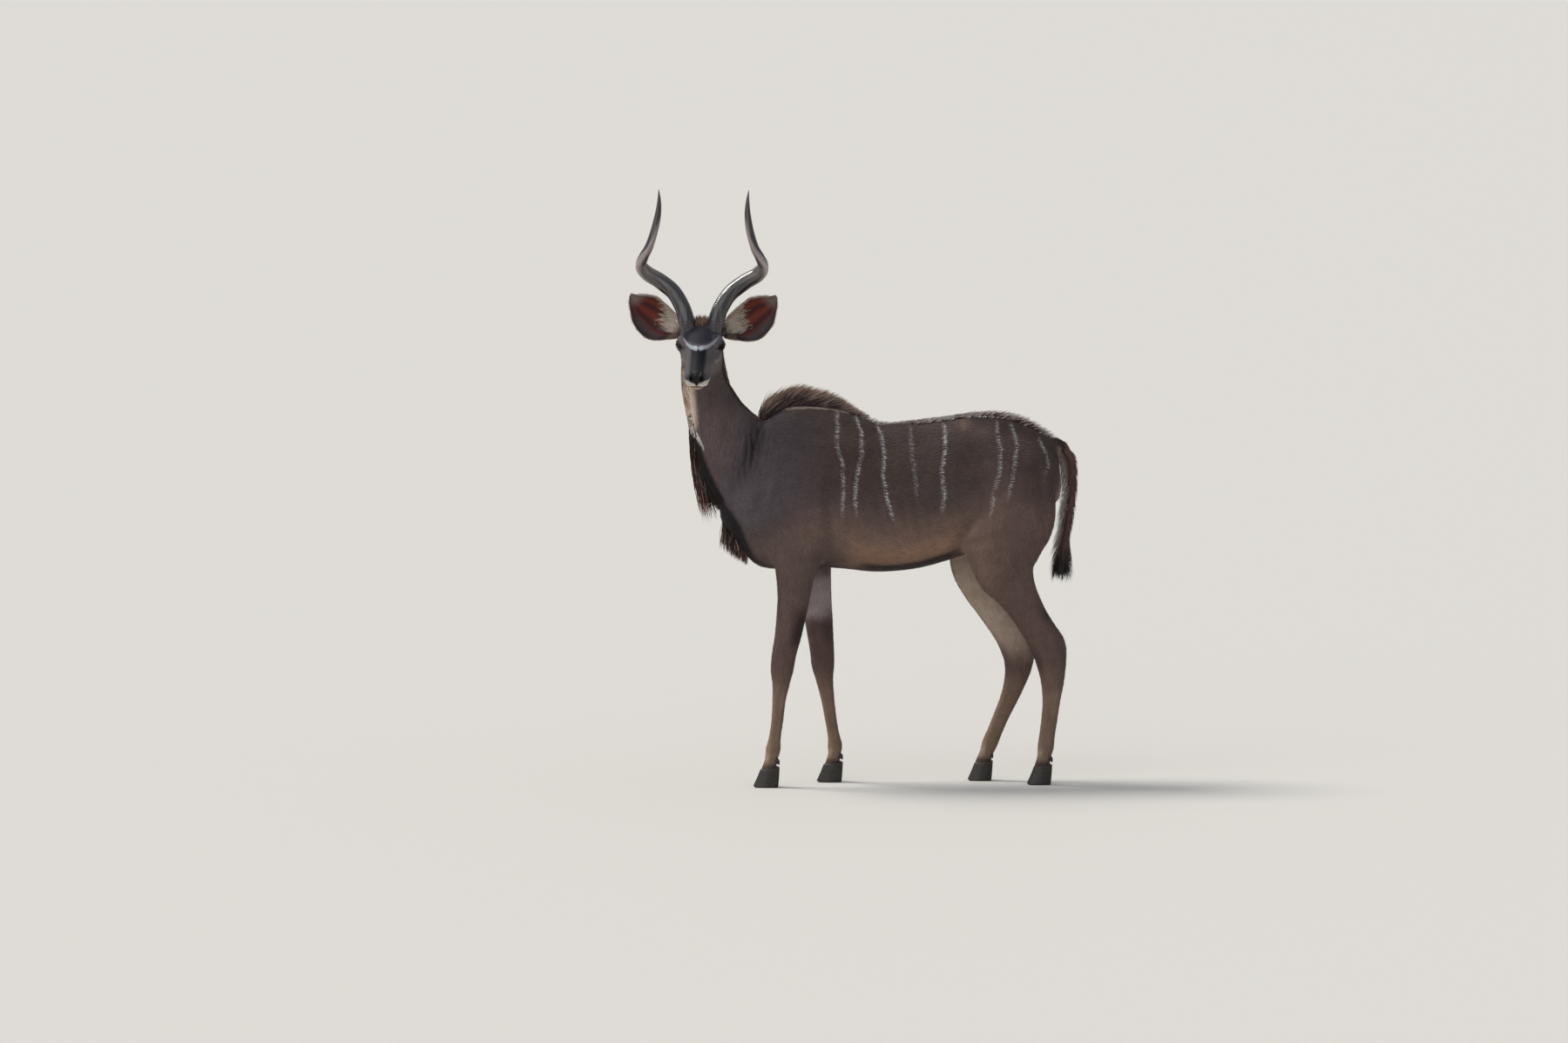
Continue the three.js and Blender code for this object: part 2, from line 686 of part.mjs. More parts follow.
// Horns and ears are parted from the head just above its skin.
for (const [name, side] of [["right", -1], ["left", 1]]) {
  const whole = horn(side);
  const foot = plane(inLevel(side, ...HORN_FOOT), vec(side * 0.3, 0, 0.95).transformDirection(levelFrame));
  nodes["horn_" + name] = largest(inside(whole, [foot], -GAP));
  body = body.add(inside(whole, away([foot])));
  const leaf = ear(side);
  const root = plane(inLevel(side, 82, 100, 46), vec(side * 0.9, 0.25, 0.3).transformDirection(levelFrame));
  nodes["ear_" + name] = largest(inside(leaf, [root], -GAP));
  body = body.add(inside(leaf, away([root])));
  const eye = inFace(side, EYE.out, EYE.ahead, EYE.up);
  nodes["eye_" + name] = ball(eye, [1, 1, 1].map(() => EYE.radius), faceTurn, 12);
}
body = openFace(body);

// The legs, each with two hooves and two dewclaws.
for (const [name, { rows, side, hind }] of Object.entries(LEGS)) {
  const region = legPlanes({ side, hind });
  const foot = rows.at(-2);
  const top = coronet(foot[0]);
  let shape = inside(body, [...region, ...away([top])]);
  for (const place of [-1, 1]) {
    const y = side * foot[1] + place * 13;
    shape = shape.add(dewclaw(foot[0] + 34, y, 98));
    const half = HOOF.width / 2 + HOOF.between / 2;
    const hoof = claw(foot[0], side * foot[1] + place * half, place, hind ? 0.95 : 1);
    const inner = place * side < 0 ? "inner" : "outer";
    nodes["hoof_" + name.replace("leg", "") + "_" + inner] = largest(inside(hoof, [top], -GAP));
  }
  nodes[name] = largest(shape);
  body = body.subtract(inside(everything(), region, GAP));
}

// Locks join the node that they grow from, and are cut clear of its neighbours.
const haired = (shape, locks, planes, grow) => largest(inside(joined([shape, ...locks]), planes, grow));
nodes.tail = haired(inside(body, TAIL_CUT), tailLocks(), TAIL_CUT, 0);
body = body.subtract(inside(everything(), TAIL_CUT, GAP));
nodes.head = largest(inside(body, HEAD_CUT));
body = inside(body, away(HEAD_CUT), -GAP);
const neckLocks = [...napeLocks(), ...fringeLocks()];
const neckPlanes = [...NECK_CUT, ...away(HEAD_CUT)];
nodes.neck = haired(inside(body, NECK_CUT), neckLocks, neckPlanes, -GAP / 2);
const crest = backLocks(CREST.from, CREST.to, CREST.count, CREST.width);
const mane = backLocks(MANE.from, MANE.to, MANE.count, MANE.width);
const trunkLocks = [...mane, ...crest, ...breastLocks()];
const trunkPlanes = [...away(NECK_CUT), ...away(TAIL_CUT.slice(0, 1))];
nodes.torso = haired(inside(body, away(NECK_CUT)), trunkLocks, trunkPlanes, -GAP);

// The origin is below the middle of the whole animal's box.
const box = new THREE.Box3();
for (const shape of Object.values(nodes)) {
  const { min, max } = shape.boundingBox();
  box.expandByPoint(vec(...min)).expandByPoint(vec(...max));
}
const middle = box.getCenter(vec(0, 0, 0));

function colourOf(name) {
  if (name.startsWith("horn")) return [COLOURS.horn, 0.4];
  if (name.startsWith("hoof")) return [COLOURS.hoof, 0.5];
  if (name.startsWith("eye")) return [COLOURS.eye, 0.1];
  if (name.startsWith("ear")) return [COLOURS.ear, 0.9];
  return [name === "head" || name === "neck" ? COLOURS.slate : COLOURS.coat, 0.9];
}

const group = new THREE.Group();
for (const [name, shape] of Object.entries(nodes)) {
  const made = shape.getMesh();
  const geometry = new THREE.BufferGeometry();
  geometry.setAttribute("position", new THREE.BufferAttribute(made.vertProperties, 3));
  geometry.setIndex(new THREE.BufferAttribute(made.triVerts, 1));
  geometry.computeVertexNormals();
  const [color, roughness] = colourOf(name);
  const mesh = new THREE.Mesh(
    geometry,
    new THREE.MeshStandardMaterial({ color, roughness, metalness: 0 }),
  );
  mesh.name = name;
  mesh.position.set(-middle.x, -middle.y, 0);
  group.add(mesh);
}

export default group;
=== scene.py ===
"""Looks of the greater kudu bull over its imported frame: skin, coat, long hair, horns, hooves, eyes.

Tables are in millimetres, in the animal's own frame: x toward its rump, y out of its right side, z up.
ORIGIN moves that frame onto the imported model's.
"""
import math

import bmesh
import bpy
import numpy as np
from mathutils import Matrix, Vector
from mathutils.kdtree import KDTree


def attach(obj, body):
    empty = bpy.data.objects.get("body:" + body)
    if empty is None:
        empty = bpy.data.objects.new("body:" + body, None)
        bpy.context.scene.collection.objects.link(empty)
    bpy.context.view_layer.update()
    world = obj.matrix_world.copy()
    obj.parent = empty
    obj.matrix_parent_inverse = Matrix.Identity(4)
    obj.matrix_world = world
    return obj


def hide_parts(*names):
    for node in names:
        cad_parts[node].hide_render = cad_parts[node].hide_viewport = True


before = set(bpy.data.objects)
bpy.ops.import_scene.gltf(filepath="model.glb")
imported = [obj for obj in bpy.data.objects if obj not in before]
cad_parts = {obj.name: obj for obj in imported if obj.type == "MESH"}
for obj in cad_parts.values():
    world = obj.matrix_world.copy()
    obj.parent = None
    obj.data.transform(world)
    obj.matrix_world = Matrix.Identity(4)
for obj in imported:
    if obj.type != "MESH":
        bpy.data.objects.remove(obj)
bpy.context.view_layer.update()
rng = np.random.default_rng(20)
MM = 0.001
ORIGIN = np.array([-9.14, 46.62, 0.0])
COAT_DEPTH = 3.5
NO_STRIPE = (0.4, 60.0, 0.0)

# The flesh, in rows like the solids'. The muzzle is wider here, and the legs end inside the claws.
TRUNK = [  # x, back line, belly line, height of greatest width, half width, hair along the back
    [-478, 1090, 1000, 1040, 60, 0], [-462, 1180, 958, 1036, 104, 0], [-412, 1275, 888, 1028, 134, 0],
    [-340, 1345, 806, 1022, 156, 84], [-262, 1388, 792, 1020, 173, 108], [-190, 1399, 792, 1020, 186, 94],
    [-100, 1390, 797, 1015, 200, 74], [0, 1358, 790, 1005, 211, 44], [90, 1328, 780, 1000, 217, 34],
    [200, 1334, 788, 1010, 219, 32], [300, 1344, 814, 1030, 214, 32], [400, 1358, 850, 1070, 204, 34],
    [480, 1364, 880, 1105, 196, 36], [560, 1356, 905, 1130, 186, 38], [640, 1326, 925, 1140, 168, 40],
    [705, 1280, 955, 1140, 148, 42], [748, 1232, 1010, 1130, 112, 38], [768, 1190, 1075, 1130, 45, 30],
]
NECK = [  # x, y, z, half size toward the nape, half size toward the throat, half width
    [-556, 22, 1668, 50, 50, 48], [-553, 18, 1620, 68, 66, 62], [-548, 14, 1540, 76, 84, 66],
    [-536, 10, 1460, 84, 92, 70], [-508, 4, 1372, 106, 108, 78], [-470, 0, 1290, 138, 136, 90],
    [-425, 0, 1215, 165, 162, 106], [-368, 0, 1140, 160, 165, 122], [-290, 0, 1060, 120, 150, 126],
    [-200, 0, 1000, 80, 100, 90],
]
SKULL = [  # ahead of the eyes, top, bottom, height of greatest width, half width
    [-138, 12, -50, -20, 26], [-122, 30, -92, -26, 52], [-95, 42, -118, -34, 66],
    [-55, 46, -122, -34, 71], [-15, 40, -112, -30, 70], [25, 26, -100, -26, 64],
    [65, 14, -88, -28, 57], [105, 8, -78, -30, 50], [145, 5, -68, -30, 50],
    [180, 3, -63, -30, 51], [205, -1, -60, -30, 50], [222, -9, -58, -32, 41],
    [232, -20, -48, -34, 23],
]
FORE_LEFT = [  # x, distance from the middle plane, z, half length fore and aft, half width
    [-225, 92, 1060, 118, 52], [-222, 108, 960, 118, 62], [-216, 114, 860, 100, 64],
    [-222, 112, 780, 76, 60], [-228, 106, 690, 62, 50], [-245, 102, 570, 52, 42],
    [-261, 99, 492, 47, 39], [-269, 98, 432, 44, 39], [-273, 97, 378, 34, 31],
    [-280, 96, 320, 27, 24], [-286, 95, 246, 24, 22], [-295, 94, 182, 24, 23],
    [-301, 93, 140, 29, 28], [-309, 93, 100, 25, 26], [-318, 93, 58, 30, 31],
]
FORE_RIGHT = [
    [-200, 92, 1060, 118, 52], [-185, 108, 960, 118, 62], [-160, 114, 860, 100, 64],
    [-136, 112, 780, 76, 60], [-122, 106, 690, 60, 50], [-109, 102, 570, 52, 42],
    [-101, 99, 492, 47, 39], [-97, 98, 432, 44, 39], [-91, 97, 378, 34, 31],
    [-80, 96, 310, 27, 24], [-69, 95, 236, 24, 22], [-58, 94, 172, 24, 23],
    [-53, 93, 134, 29, 28], [-56, 93, 98, 25, 26], [-64, 93, 58, 30, 31],
]
HIND_LEFT = [
    [590, 84, 1200, 110, 58], [586, 106, 1110, 150, 74], [572, 118, 1010, 172, 80],
    [552, 122, 930, 168, 78], [546, 121, 862, 148, 72], [556, 115, 785, 117, 61],
    [588, 108, 722, 86, 50], [620, 104, 668, 70, 43], [652, 101, 612, 64, 39],
    [684, 99, 560, 64, 37], [714, 97, 506, 68, 36], [726, 96, 444, 57, 33],
    [730, 95, 378, 45, 28], [726, 94, 306, 35, 25], [719, 93, 240, 32, 24],
    [711, 92, 182, 31, 24], [706, 92, 138, 32, 28], [699, 92, 100, 27, 27],
    [691, 92, 58, 31, 31],
]
HIND_RIGHT = [
    [590, 84, 1200, 110, 58], [584, 106, 1110, 150, 74], [562, 118, 1010, 172, 80],
    [530, 122, 930, 168, 78], [508, 121, 860, 148, 72], [494, 115, 785, 120, 61],
    [506, 108, 715, 90, 50], [530, 104, 655, 70, 43], [562, 101, 598, 62, 39],
    [597, 99, 540, 60, 37], [626, 97, 482, 64, 36], [628, 96, 424, 54, 33],
    [615, 95, 364, 43, 28], [592, 94, 300, 35, 25], [563, 93, 235, 31, 24],
    [541, 92, 183, 30, 24], [523, 92, 140, 31, 28], [508, 92, 100, 27, 27],
    [494, 92, 58, 31, 31],
]
TAIL = [  # x, y, z, half depth, half width
    [735, 0, 1262, 26, 26], [775, 0, 1238, 24, 25], [802, 0, 1196, 17, 21], [813, 0, 1140, 14, 19],
    [812, 0, 1060, 13, 18], [801, 0, 970, 12, 16], [787, 0, 890, 10, 13], [778, 0, 830, 8, 10],
    [775, 0, 800, 4, 5],
]
HORN = [  # out from the middle of the head, back, up, thickness
    [43, 34, 18, 50], [50, 34, 66, 60], [56, 36, 92, 61], [72, 50, 135, 59], [108, 70, 190, 57],
    [154, 80, 228, 55], [200, 76, 256, 52], [222, 58, 286, 46], [212, 42, 318, 40],
    [193, 38, 354, 35], [176, 48, 408, 30], [166, 72, 466, 23], [163, 96, 520, 14],
    [165, 108, 560, 3],
]
EAR = [  # out, back, up, depth of the cup, half width
    [66, 92, 38, 22, 22], [92, 98, 44, 32, 37], [126, 113, 54, 44, 58], [160, 122, 69, 46, 71],
    [185, 129, 87, 44, 73], [206, 133, 107, 40, 70], [226, 136, 122, 32, 59], [243, 137, 139, 24, 41],
    [258, 137, 154, 15, 23], [269, 137, 172, 6, 6],
]
EYES_AT = np.array([-570.0, -110.0, 1627.0])
HEAD_YAW, HEAD_ROLL, FACE_DROP = (math.radians(v) for v in (-9.5, 0.5, 25.0))
EYE_AT = (61, 0, -2)  # out, ahead, up of an eyeball's centre
EYE_RADIUS = 21.5
LEGS = {
    "fore_left": (FORE_LEFT, -1), "fore_right": (FORE_RIGHT, 1),
    "hind_left": (HIND_LEFT, -1), "hind_right": (HIND_RIGHT, 1),
}

# The camera: the photo's angle and framing, from far off.
AZIMUTH, ELEVATION = math.radians(-6), math.radians(4)
DISTANCE, PIXEL = 40.0, 3.2 * MM
CENTRE = (-264.1 * MM, 968 * MM)  # the picture's middle, across and up, in the picture's plane
PHOTO_SIZE = (1800, 1197)
ACROSS = np.array([math.cos(AZIMUTH), math.sin(AZIMUTH), 0.0])
TOWARD = np.array([math.sin(AZIMUTH) * math.cos(ELEVATION),
                   -math.cos(AZIMUTH) * math.cos(ELEVATION), math.sin(ELEVATION)])
UPWARD = np.cross(TOWARD, ACROSS)


def unit(v):
    return v / np.maximum(np.linalg.norm(v, axis=-1, keepdims=True), 1e-12)


def smooth(low, high, v):
    t = np.clip((v - low) / (high - low), 0, 1)
    return t * t * (3 - 2 * t)


def fall(low, high, v):
    return 1 - smooth(low, high, v)


def bell(v, middle, width):
    return np.exp(-(((v - middle) / width) ** 2))


def place(p):
    """From the animal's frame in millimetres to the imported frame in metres."""
    return (np.asarray(p, float) + ORIGIN) * MM


def unplace(p):
    return np.asarray(p, float) / MM - ORIGIN


def pixels(p):
    """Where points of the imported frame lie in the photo, in its pixels."""
    return ((p @ ACROSS - CENTRE[0]) / PIXEL + PHOTO_SIZE[0] / 2,
            PHOTO_SIZE[1] / 2 - (p @ UPWARD - CENTRE[1]) / PIXEL)


def turn(axis, angle):
    c, s = math.cos(angle), math.sin(angle)
    return np.array({"x": [[1, 0, 0], [0, c, -s], [0, s, c]],
                     "y": [[c, 0, s], [0, 1, 0], [-s, 0, c]],
                     "z": [[c, -s, 0], [s, c, 0], [0, 0, 1]]}[axis])


LEVEL_TURN = turn("z", HEAD_YAW) @ turn("y", HEAD_ROLL)
FACE_TURN = LEVEL_TURN @ turn("x", FACE_DROP)


def in_level(side, out, back, up):
    v = np.stack(np.broadcast_arrays(side * np.asarray(out, float), back, up), -1)
    return v @ LEVEL_TURN.T + EYES_AT


def in_face(side, out, ahead, up):
    v = np.stack(np.broadcast_arrays(side * np.asarray(out, float), -np.asarray(ahead, float), up), -1)
    return v @ FACE_TURN.T + EYES_AT


def face_coords(p):
    """Out (toward its left ear), ahead and up in the face's frame, of points in the animal's frame."""
    v = (p - EYES_AT) @ FACE_TURN
    return v[:, 0], -v[:, 1], v[:, 2]


def between(rows, t):
    """Rows read between their places, with a smooth curve through them."""
    rows = np.asarray(rows, float)
    n = len(rows)
    t = np.clip(np.atleast_1d(np.asarray(t, float)), 0, n - 1)
    i = np.minimum(t.astype(int), n - 2)
    f = (t - i)[:, None]
    p, q, r, s = (rows[np.clip(i + k, 0, n - 1)] for k in (-1, 0, 1, 2))
    a, b = (r - p) / 2, (s - q) / 2
    return q + f * (a + f * (3 * (r - q) - 2 * a - b + f * (2 * (q - r) + a + b)))


def where_x(rows, x):
    t = np.linspace(0, len(rows) - 1, 2000)
    return np.interp(x, between(rows, t)[:, 0], t)


def noise3(p, scale, seed):
    """Smooth noise from sines, between about -1 and 1."""
    draw = np.random.default_rng(seed)
    total = np.zeros(len(p))
    for _ in range(7):
        wave = draw.normal(size=3) / scale
        total += np.sin(p @ wave * 2.2 + draw.uniform(0, 6.28))
    return total / 4


def mesh_object(name, verts, faces, smooth_shading=True):
    """A mesh from arrays, in metres. Faces is one array, or two for quads and triangles."""
    mesh = bpy.data.meshes.new(name)
    groups = [np.asarray(f, np.int32) for f in (faces if isinstance(faces, (list, tuple)) else [faces])]
    groups = [g for g in groups if len(g)]
    corners = np.concatenate([g.ravel() for g in groups])
    totals = np.concatenate([np.full(len(g), g.shape[1], np.int32) for g in groups])
    mesh.vertices.add(len(verts))
    mesh.vertices.foreach_set("co", np.ascontiguousarray(verts, np.float32).ravel())
    mesh.loops.add(len(corners))
    mesh.loops.foreach_set("vertex_index", corners.astype(np.int32))
    mesh.polygons.add(len(totals))
    mesh.polygons.foreach_set("loop_start", np.concatenate([[0], np.cumsum(totals)[:-1]]).astype(np.int32))
    mesh.update(calc_edges=True)
    if smooth_shading:
        mesh.polygons.foreach_set("use_smooth", np.ones(len(totals), bool))
    obj = bpy.data.objects.new(name, mesh)
    bpy.context.scene.collection.objects.link(obj)
    return obj


def set_floats(mesh, name, values):
    kind = {1: "FLOAT", 3: "FLOAT_VECTOR", 4: "FLOAT_COLOR"}[1 if values.ndim == 1 else values.shape[1]]
    attribute = mesh.attributes.new(name, kind, "POINT")
    field = {"FLOAT": "value", "FLOAT_VECTOR": "vector", "FLOAT_COLOR": "color"}[kind]
    attribute.data.foreach_set(field, np.ascontiguousarray(values, np.float32).ravel())

def with_one(values):
    """Colours with an alpha of 1."""
    return np.concatenate([values, np.ones((len(values), 1))], 1)


def set_coat(mesh, tone, mark, bare):
    """What the coat's materials read: colour, stripe marks, and how bare each point is."""
    count = len(tone)
    set_floats(mesh, "tone", with_one(tone))
    set_floats(mesh, "mark", mark if len(mark) == count else np.tile(mark, (count, 1)))
    bare = np.broadcast_to(bare, count)
    set_floats(mesh, "trait", np.stack([bare, 0 * bare, 0 * bare], 1))


def get_verts(mesh, field="co"):
    data = np.zeros(len(mesh.vertices) * 3, np.float32)
    mesh.vertices.foreach_get(field, data)
    return data.reshape(-1, 3).astype(float)


def get_points(mesh):
    return unplace(get_verts(mesh))


def set_points(mesh, p):
    mesh.vertices.foreach_set("co", place(p).astype(np.float32).ravel())
    mesh.update()


def get_edges(mesh):
    data = np.zeros(len(mesh.edges) * 2, np.int32)
    mesh.edges.foreach_get("vertices", data)
    return data.reshape(-1, 2)


def edit(mesh, work):
    """Has work change a mesh in Blender's editing form."""
    bm = bmesh.new()
    bm.from_mesh(mesh)
    work(bm)
    bm.to_mesh(mesh)
    bm.free()


def face_outward(mesh):
    edit(mesh, lambda bm: bmesh.ops.recalc_face_normals(bm, faces=bm.faces))


def relax(values, edges, rounds, weight=1.0):
    """Values drawn toward the mean of their neighbours."""
    count = len(values)
    degree = np.bincount(edges.ravel(), minlength=count).astype(float)[:, None]
    weight = np.broadcast_to(np.asarray(weight, float).reshape(-1, 1), (count, 1))
    for _ in range(rounds):
        total = np.stack([
            np.bincount(edges[:, 0], values[edges[:, 1], k], count)
            + np.bincount(edges[:, 1], values[edges[:, 0], k], count)
            for k in range(values.shape[1])], 1)
        values = values + weight * (total / np.maximum(degree, 1) - values)
    return values


def grid_faces(rings, sides, closed=True):
    k = np.arange(rings - 1)[:, None]
    i = np.arange(sides if closed else sides - 1)[None, :]
    j = (i + 1) % sides
    low, high = k * sides, (k + 1) * sides
    return np.stack([low + i, low + j, high + j, high + i], -1).reshape(-1, 4)


def tube_faces(rings, sides, flip=False):
    """Faces of a closed tube: its rings of points are followed by the middle points of its two ends."""
    i = np.arange(sides)
    j = (i + 1) % sides
    if flip:
        i, j = j, i
    last = (rings - 1) * sides
    ends = [np.stack([np.full(sides, rings * sides), j, i], 1),
            np.stack([np.full(sides, rings * sides + 1), last + i, last + j], 1)]
    return [grid_faces(rings, sides), np.concatenate(ends)]


# Where each loft of flesh runs, for the lie of the coat and for its unwrap.
sources = []


def loft(part, centre, a, b, w, across=(0, 1, 0), sides=48, square=2.0, flow=1.0):
    """A closed body round a middle line, reaching a and b to its two sides of depth and w across."""
    along = unit(np.gradient(centre, axis=0))
    depth = unit(np.cross(along, across))
    wide = np.cross(depth, along)
    angle = (np.arange(sides) + 0.5) / sides * 2 * math.pi
    c, n = np.cos(angle), np.sin(angle)
    power = np.where(c > 0, square, 2.0)
    r = (np.abs(c) ** power + np.abs(n) ** power) ** (-1 / power)
    reach = (c * r)[None, :] * np.where(c[None, :] > 0, a[:, None], b[:, None])
    verts = (centre[:, None] + depth[:, None] * reach[..., None]
             + wide[:, None] * (n * r)[None, :, None] * w[:, None, None]).reshape(-1, 3)
    sources.append((part, verts, np.repeat(along * flow, sides, 0), len(centre)))
    return np.concatenate([verts, centre[[0, -1]]]), tube_faces(len(centre), sides)


def ball(at, radii, spin=np.eye(3), rings=20, sides=28):
    phi = np.linspace(0, math.pi, rings)[1:-1, None]
    theta = np.linspace(0, 2 * math.pi, sides, endpoint=False)[None, :]
    v = np.stack([np.sin(phi) * np.cos(theta), np.sin(phi) * np.sin(theta),
                  np.cos(phi) + 0 * theta], -1).reshape(-1, 3)
    points = np.concatenate([v, [[0, 0, 1], [0, 0, -1]]]) * np.array(radii) @ spin.T + at
    return points, tube_faces(rings - 2, sides, flip=True)


def dense(rows, count):
    return between(rows, np.linspace(0, len(rows) - 1, count))


# Balls on each side of the head: out, ahead and up of the middle, and radii.
HEAD_BALLS = {
    "brow": ((52, -2, 0), (27, 40, 29)), "jaw": ((46, -48, -62), (25, 58, 46)),
    "nostril": ((25, 208, -20), (17, 22, 18)), "lip": ((22, 211, -49), (20, 18, 11)),
    "eye": (EYE_AT, (23, 25, 21)), "cheek": ((44, 34, -42), (14, 60, 26)),
}
CHIN_BALL = ((0, 196, -65), (26, 30, 12))
ROOT_RINGS = 7  # of the 60 along a horn or ear that are fused into the head


def flesh():
    """All bodies of flesh, as a list of closed meshes in the animal's frame."""
    r = dense(TRUNK, 150)
    bodies = [loft("trunk", np.stack([r[:, 0], 0 * r[:, 0], r[:, 3]], 1), r[:, 1] - r[:, 3],
                   r[:, 3] - r[:, 2], r[:, 4], sides=90, square=1.75)]
    r = dense(NECK, 90)
    bodies.append(loft("neck", r[:, :3], *r[:, 3:].T, sides=72))
    for name, (rows, side) in LEGS.items():
        r = dense(rows, 130)
        bodies.append(loft(name, r[:, :3] * [1, side, 1], r[:, 3], r[:, 3], r[:, 4]))
    r = dense(TAIL, 70)
    bodies.append(loft("tail", r[:, :3], r[:, 3], r[:, 3], r[:, 4], sides=24))
    r = dense(SKULL, 80)
    bodies.append(loft("head", in_face(1, 0, r[:, 0], r[:, 3]), r[:, 1] - r[:, 3], r[:, 3] - r[:, 2],
                       r[:, 4], FACE_TURN @ np.array([-1.0, 0, 0]), 56, flow=-1.0))
    for side in (-1, 1):
        bodies += [ball(in_face(side, *at), radii, FACE_TURN) for at, radii in HEAD_BALLS.values()]
        horn = dense(HORN, 60)[:ROOT_RINGS]
        thick = horn[:, 3] * 0.5
        bodies.append(loft("head", in_level(side, *horn[:, :3].T), thick, thick, thick, (1, 0, 0), 28))
        ear = dense(EAR, 60)[:ROOT_RINGS]
        depth, half = (ear[:, 3:] * np.linspace(0.85, 0.45, ROOT_RINGS)[:, None]).T
        bodies.append(loft("head", in_level(side, *ear[:, :3].T), depth, depth, half, (0, 0, 1), 28))
    bodies.append(ball(in_face(1, *CHIN_BALL[0]), CHIN_BALL[1], FACE_TURN))
    return bodies


def join_arrays(parts):
    """One vertex array and one face array for each face size."""
    verts, quads, tris, base = [], [], [], 0
    for points, groups in parts:
        verts.append(points)
        for g in groups:
            (quads if g.shape[1] == 4 else tris).append(g + base)
        base += len(points)
    faces = [np.concatenate(g) for g in (quads, tris) if g]
    return np.concatenate(verts), faces


def evaluated(obj):
    """The mesh of an object with its modifiers applied, in place of its own."""
    graph = bpy.context.evaluated_depsgraph_get()
    made = bpy.data.meshes.new_from_object(obj.evaluated_get(graph))
    old = obj.data
    obj.modifiers.clear()
    obj.data = made
    bpy.data.meshes.remove(old)
    return obj


def head_part(p):
    """How far points belong to the head, from 0 to 1."""
    _, ahead, up = face_coords(p)
    return smooth(-150, -120, ahead) * smooth(-150, -125, up + 0.25 * ahead)


# Muscles and hollows on both sides of the body: x, z, half sizes, tilt in degrees, height.
FORMS = [
    (-262, 1180, 80, 165, 14, 8), (-300, 1275, 45, 60, 20, 5), (-225, 985, 100, 95, 0, 9),
    (-95, 1010, 45, 140, 6, -8), (-418, 1010, 55, 65, 0, 9), (130, 990, 210, 165, 0, 4),
    (440, 1205, 80, 66, 8, -13), (505, 1300, 42, 30, 10, 11), (610, 1110, 105, 130, -8, 8),
    (698, 1010, 22, 150, -12, -6), (455, 930, 85, 26, -24, 9), (340, 905, 120, 30, 8, -5),
    (-325, 1120, 22, 110, 20, -5), (560, 820, 60, 60, 0, 5), (-460, 1200, 60, 80, 35, 5),
    (-500, 1330, 26, 120, 18, 5), (-455, 1330, 20, 110, 18, -4), (0, 1250, 180, 26, 0, 4),
    (650, 1215, 45, 50, 0, 6), (745, 1120, 30, 60, 0, 4),
]
# Folds where the neck meets the shoulder, in photo pixels: across, top, bottom, depth.
FOLDS = [(866, 488, 536, 7), (872.5, 492, 530, 5), (860, 498, 540, 4.5), (853.5, 500, 545, 3),
         (846, 478, 530, 2.4), (838.5, 470, 520, 2), (880, 498, 528, 3)]


def side_pixels(p):
    """Where points would lie in the photo, moved to the near side."""
    flat = p.copy()
    flat[:, 1] = -np.abs(flat[:, 1])
    return pixels(place(flat))


def nostril(o, up):
    """Under about 1 inside a nostril, a comma that opens ahead and to the side."""
    return np.hypot((o - (19 + 0.112 * (up + 20))) / 5.2, (up + 20 + 0.35 * (o - 19)) / 9.5)


def sculpt(p, n):
    """How far each point of the skin moves along its normal, in millimetres."""
    x, z = p[:, 0], p[:, 2]
    move = np.zeros(len(p))
    facing = np.abs(n[:, 1]) ** 0.8
    trunk = smooth(620, 800, z) * (1 - head_part(p))
    for cx, cz, rx, rz, tilt, height in FORMS:
        c, s = math.cos(math.radians(tilt)), math.sin(math.radians(tilt))
        dx, dz = x - cx, z - cz
        u, v = (dx * c - dz * s) / rx, (dx * s + dz * c) / rz
        move += 1.4 * height * np.exp(-(u * u + v * v)) * facing * trunk
    # Ribs, faint under the coat.
    slant = x + 0.28 * (z - 1000)
    ribs = np.sin(slant / 46 * 2 * math.pi) * bell(x, 110, 170) * bell(z, 990, 120)
    move += 0.9 * ribs * facing * trunk
    px, py = side_pixels(p)
    for fx, top, bottom, depth in FOLDS:
        along = smooth(top - 8, top + 12, py) * fall(bottom - 12, bottom + 10, py)
        bent = fx - 0.25 * (py - top) + 1.2 * np.sin(py * 0.11 + fx)
        move -= depth * bell(px, bent, 1.7) * along * facing
        move += 0.6 * depth * bell(px, bent + 3.2, 1.9) * along * facing
    # Fine upright wrinkles over the neck and shoulder.
    grain = noise3(np.stack([x, p[:, 1], z * 0.09], 1), 9, 5) * bell(x, -420, 120) * bell(z, 1270, 170)
    move += 1.1 * grain * facing * (1 - head_part(p))
    # Tendons and bones of the lower legs stand apart.
    low = smooth(150, 190, z) * fall(330, 400, z)
    move -= 3.2 * low * bell(np.abs(n[:, 0]), 0, 0.42)
    return move


# Forms on both sides of the face: height, ahead and its spread, up and its spread, and how far out each
# one starts and is whole. Brow, cheek's ridge, upper lid, jaw, hollow before the eye, ridge below it,
# hollow of the cheek, temple.
FACE_FORMS = [
    (9.5, -10, 38, 4, 36, 30, 56), (5.0, 14, 60, -30, 22, 30, 52), (5.5, -2, 28, 23, 9, 34, 52),
    (8.0, -35, 50, -78, 30, 25, 45), (-5.0, 44, 22, 0, 13, 26, 44), (3.0, 60, 55, -34, 9, 20, 40),
    (-3.5, 105, 45, -45, 16, 18, 34), (-4.0, -70, 22, 8, 16, 30, 50),
]


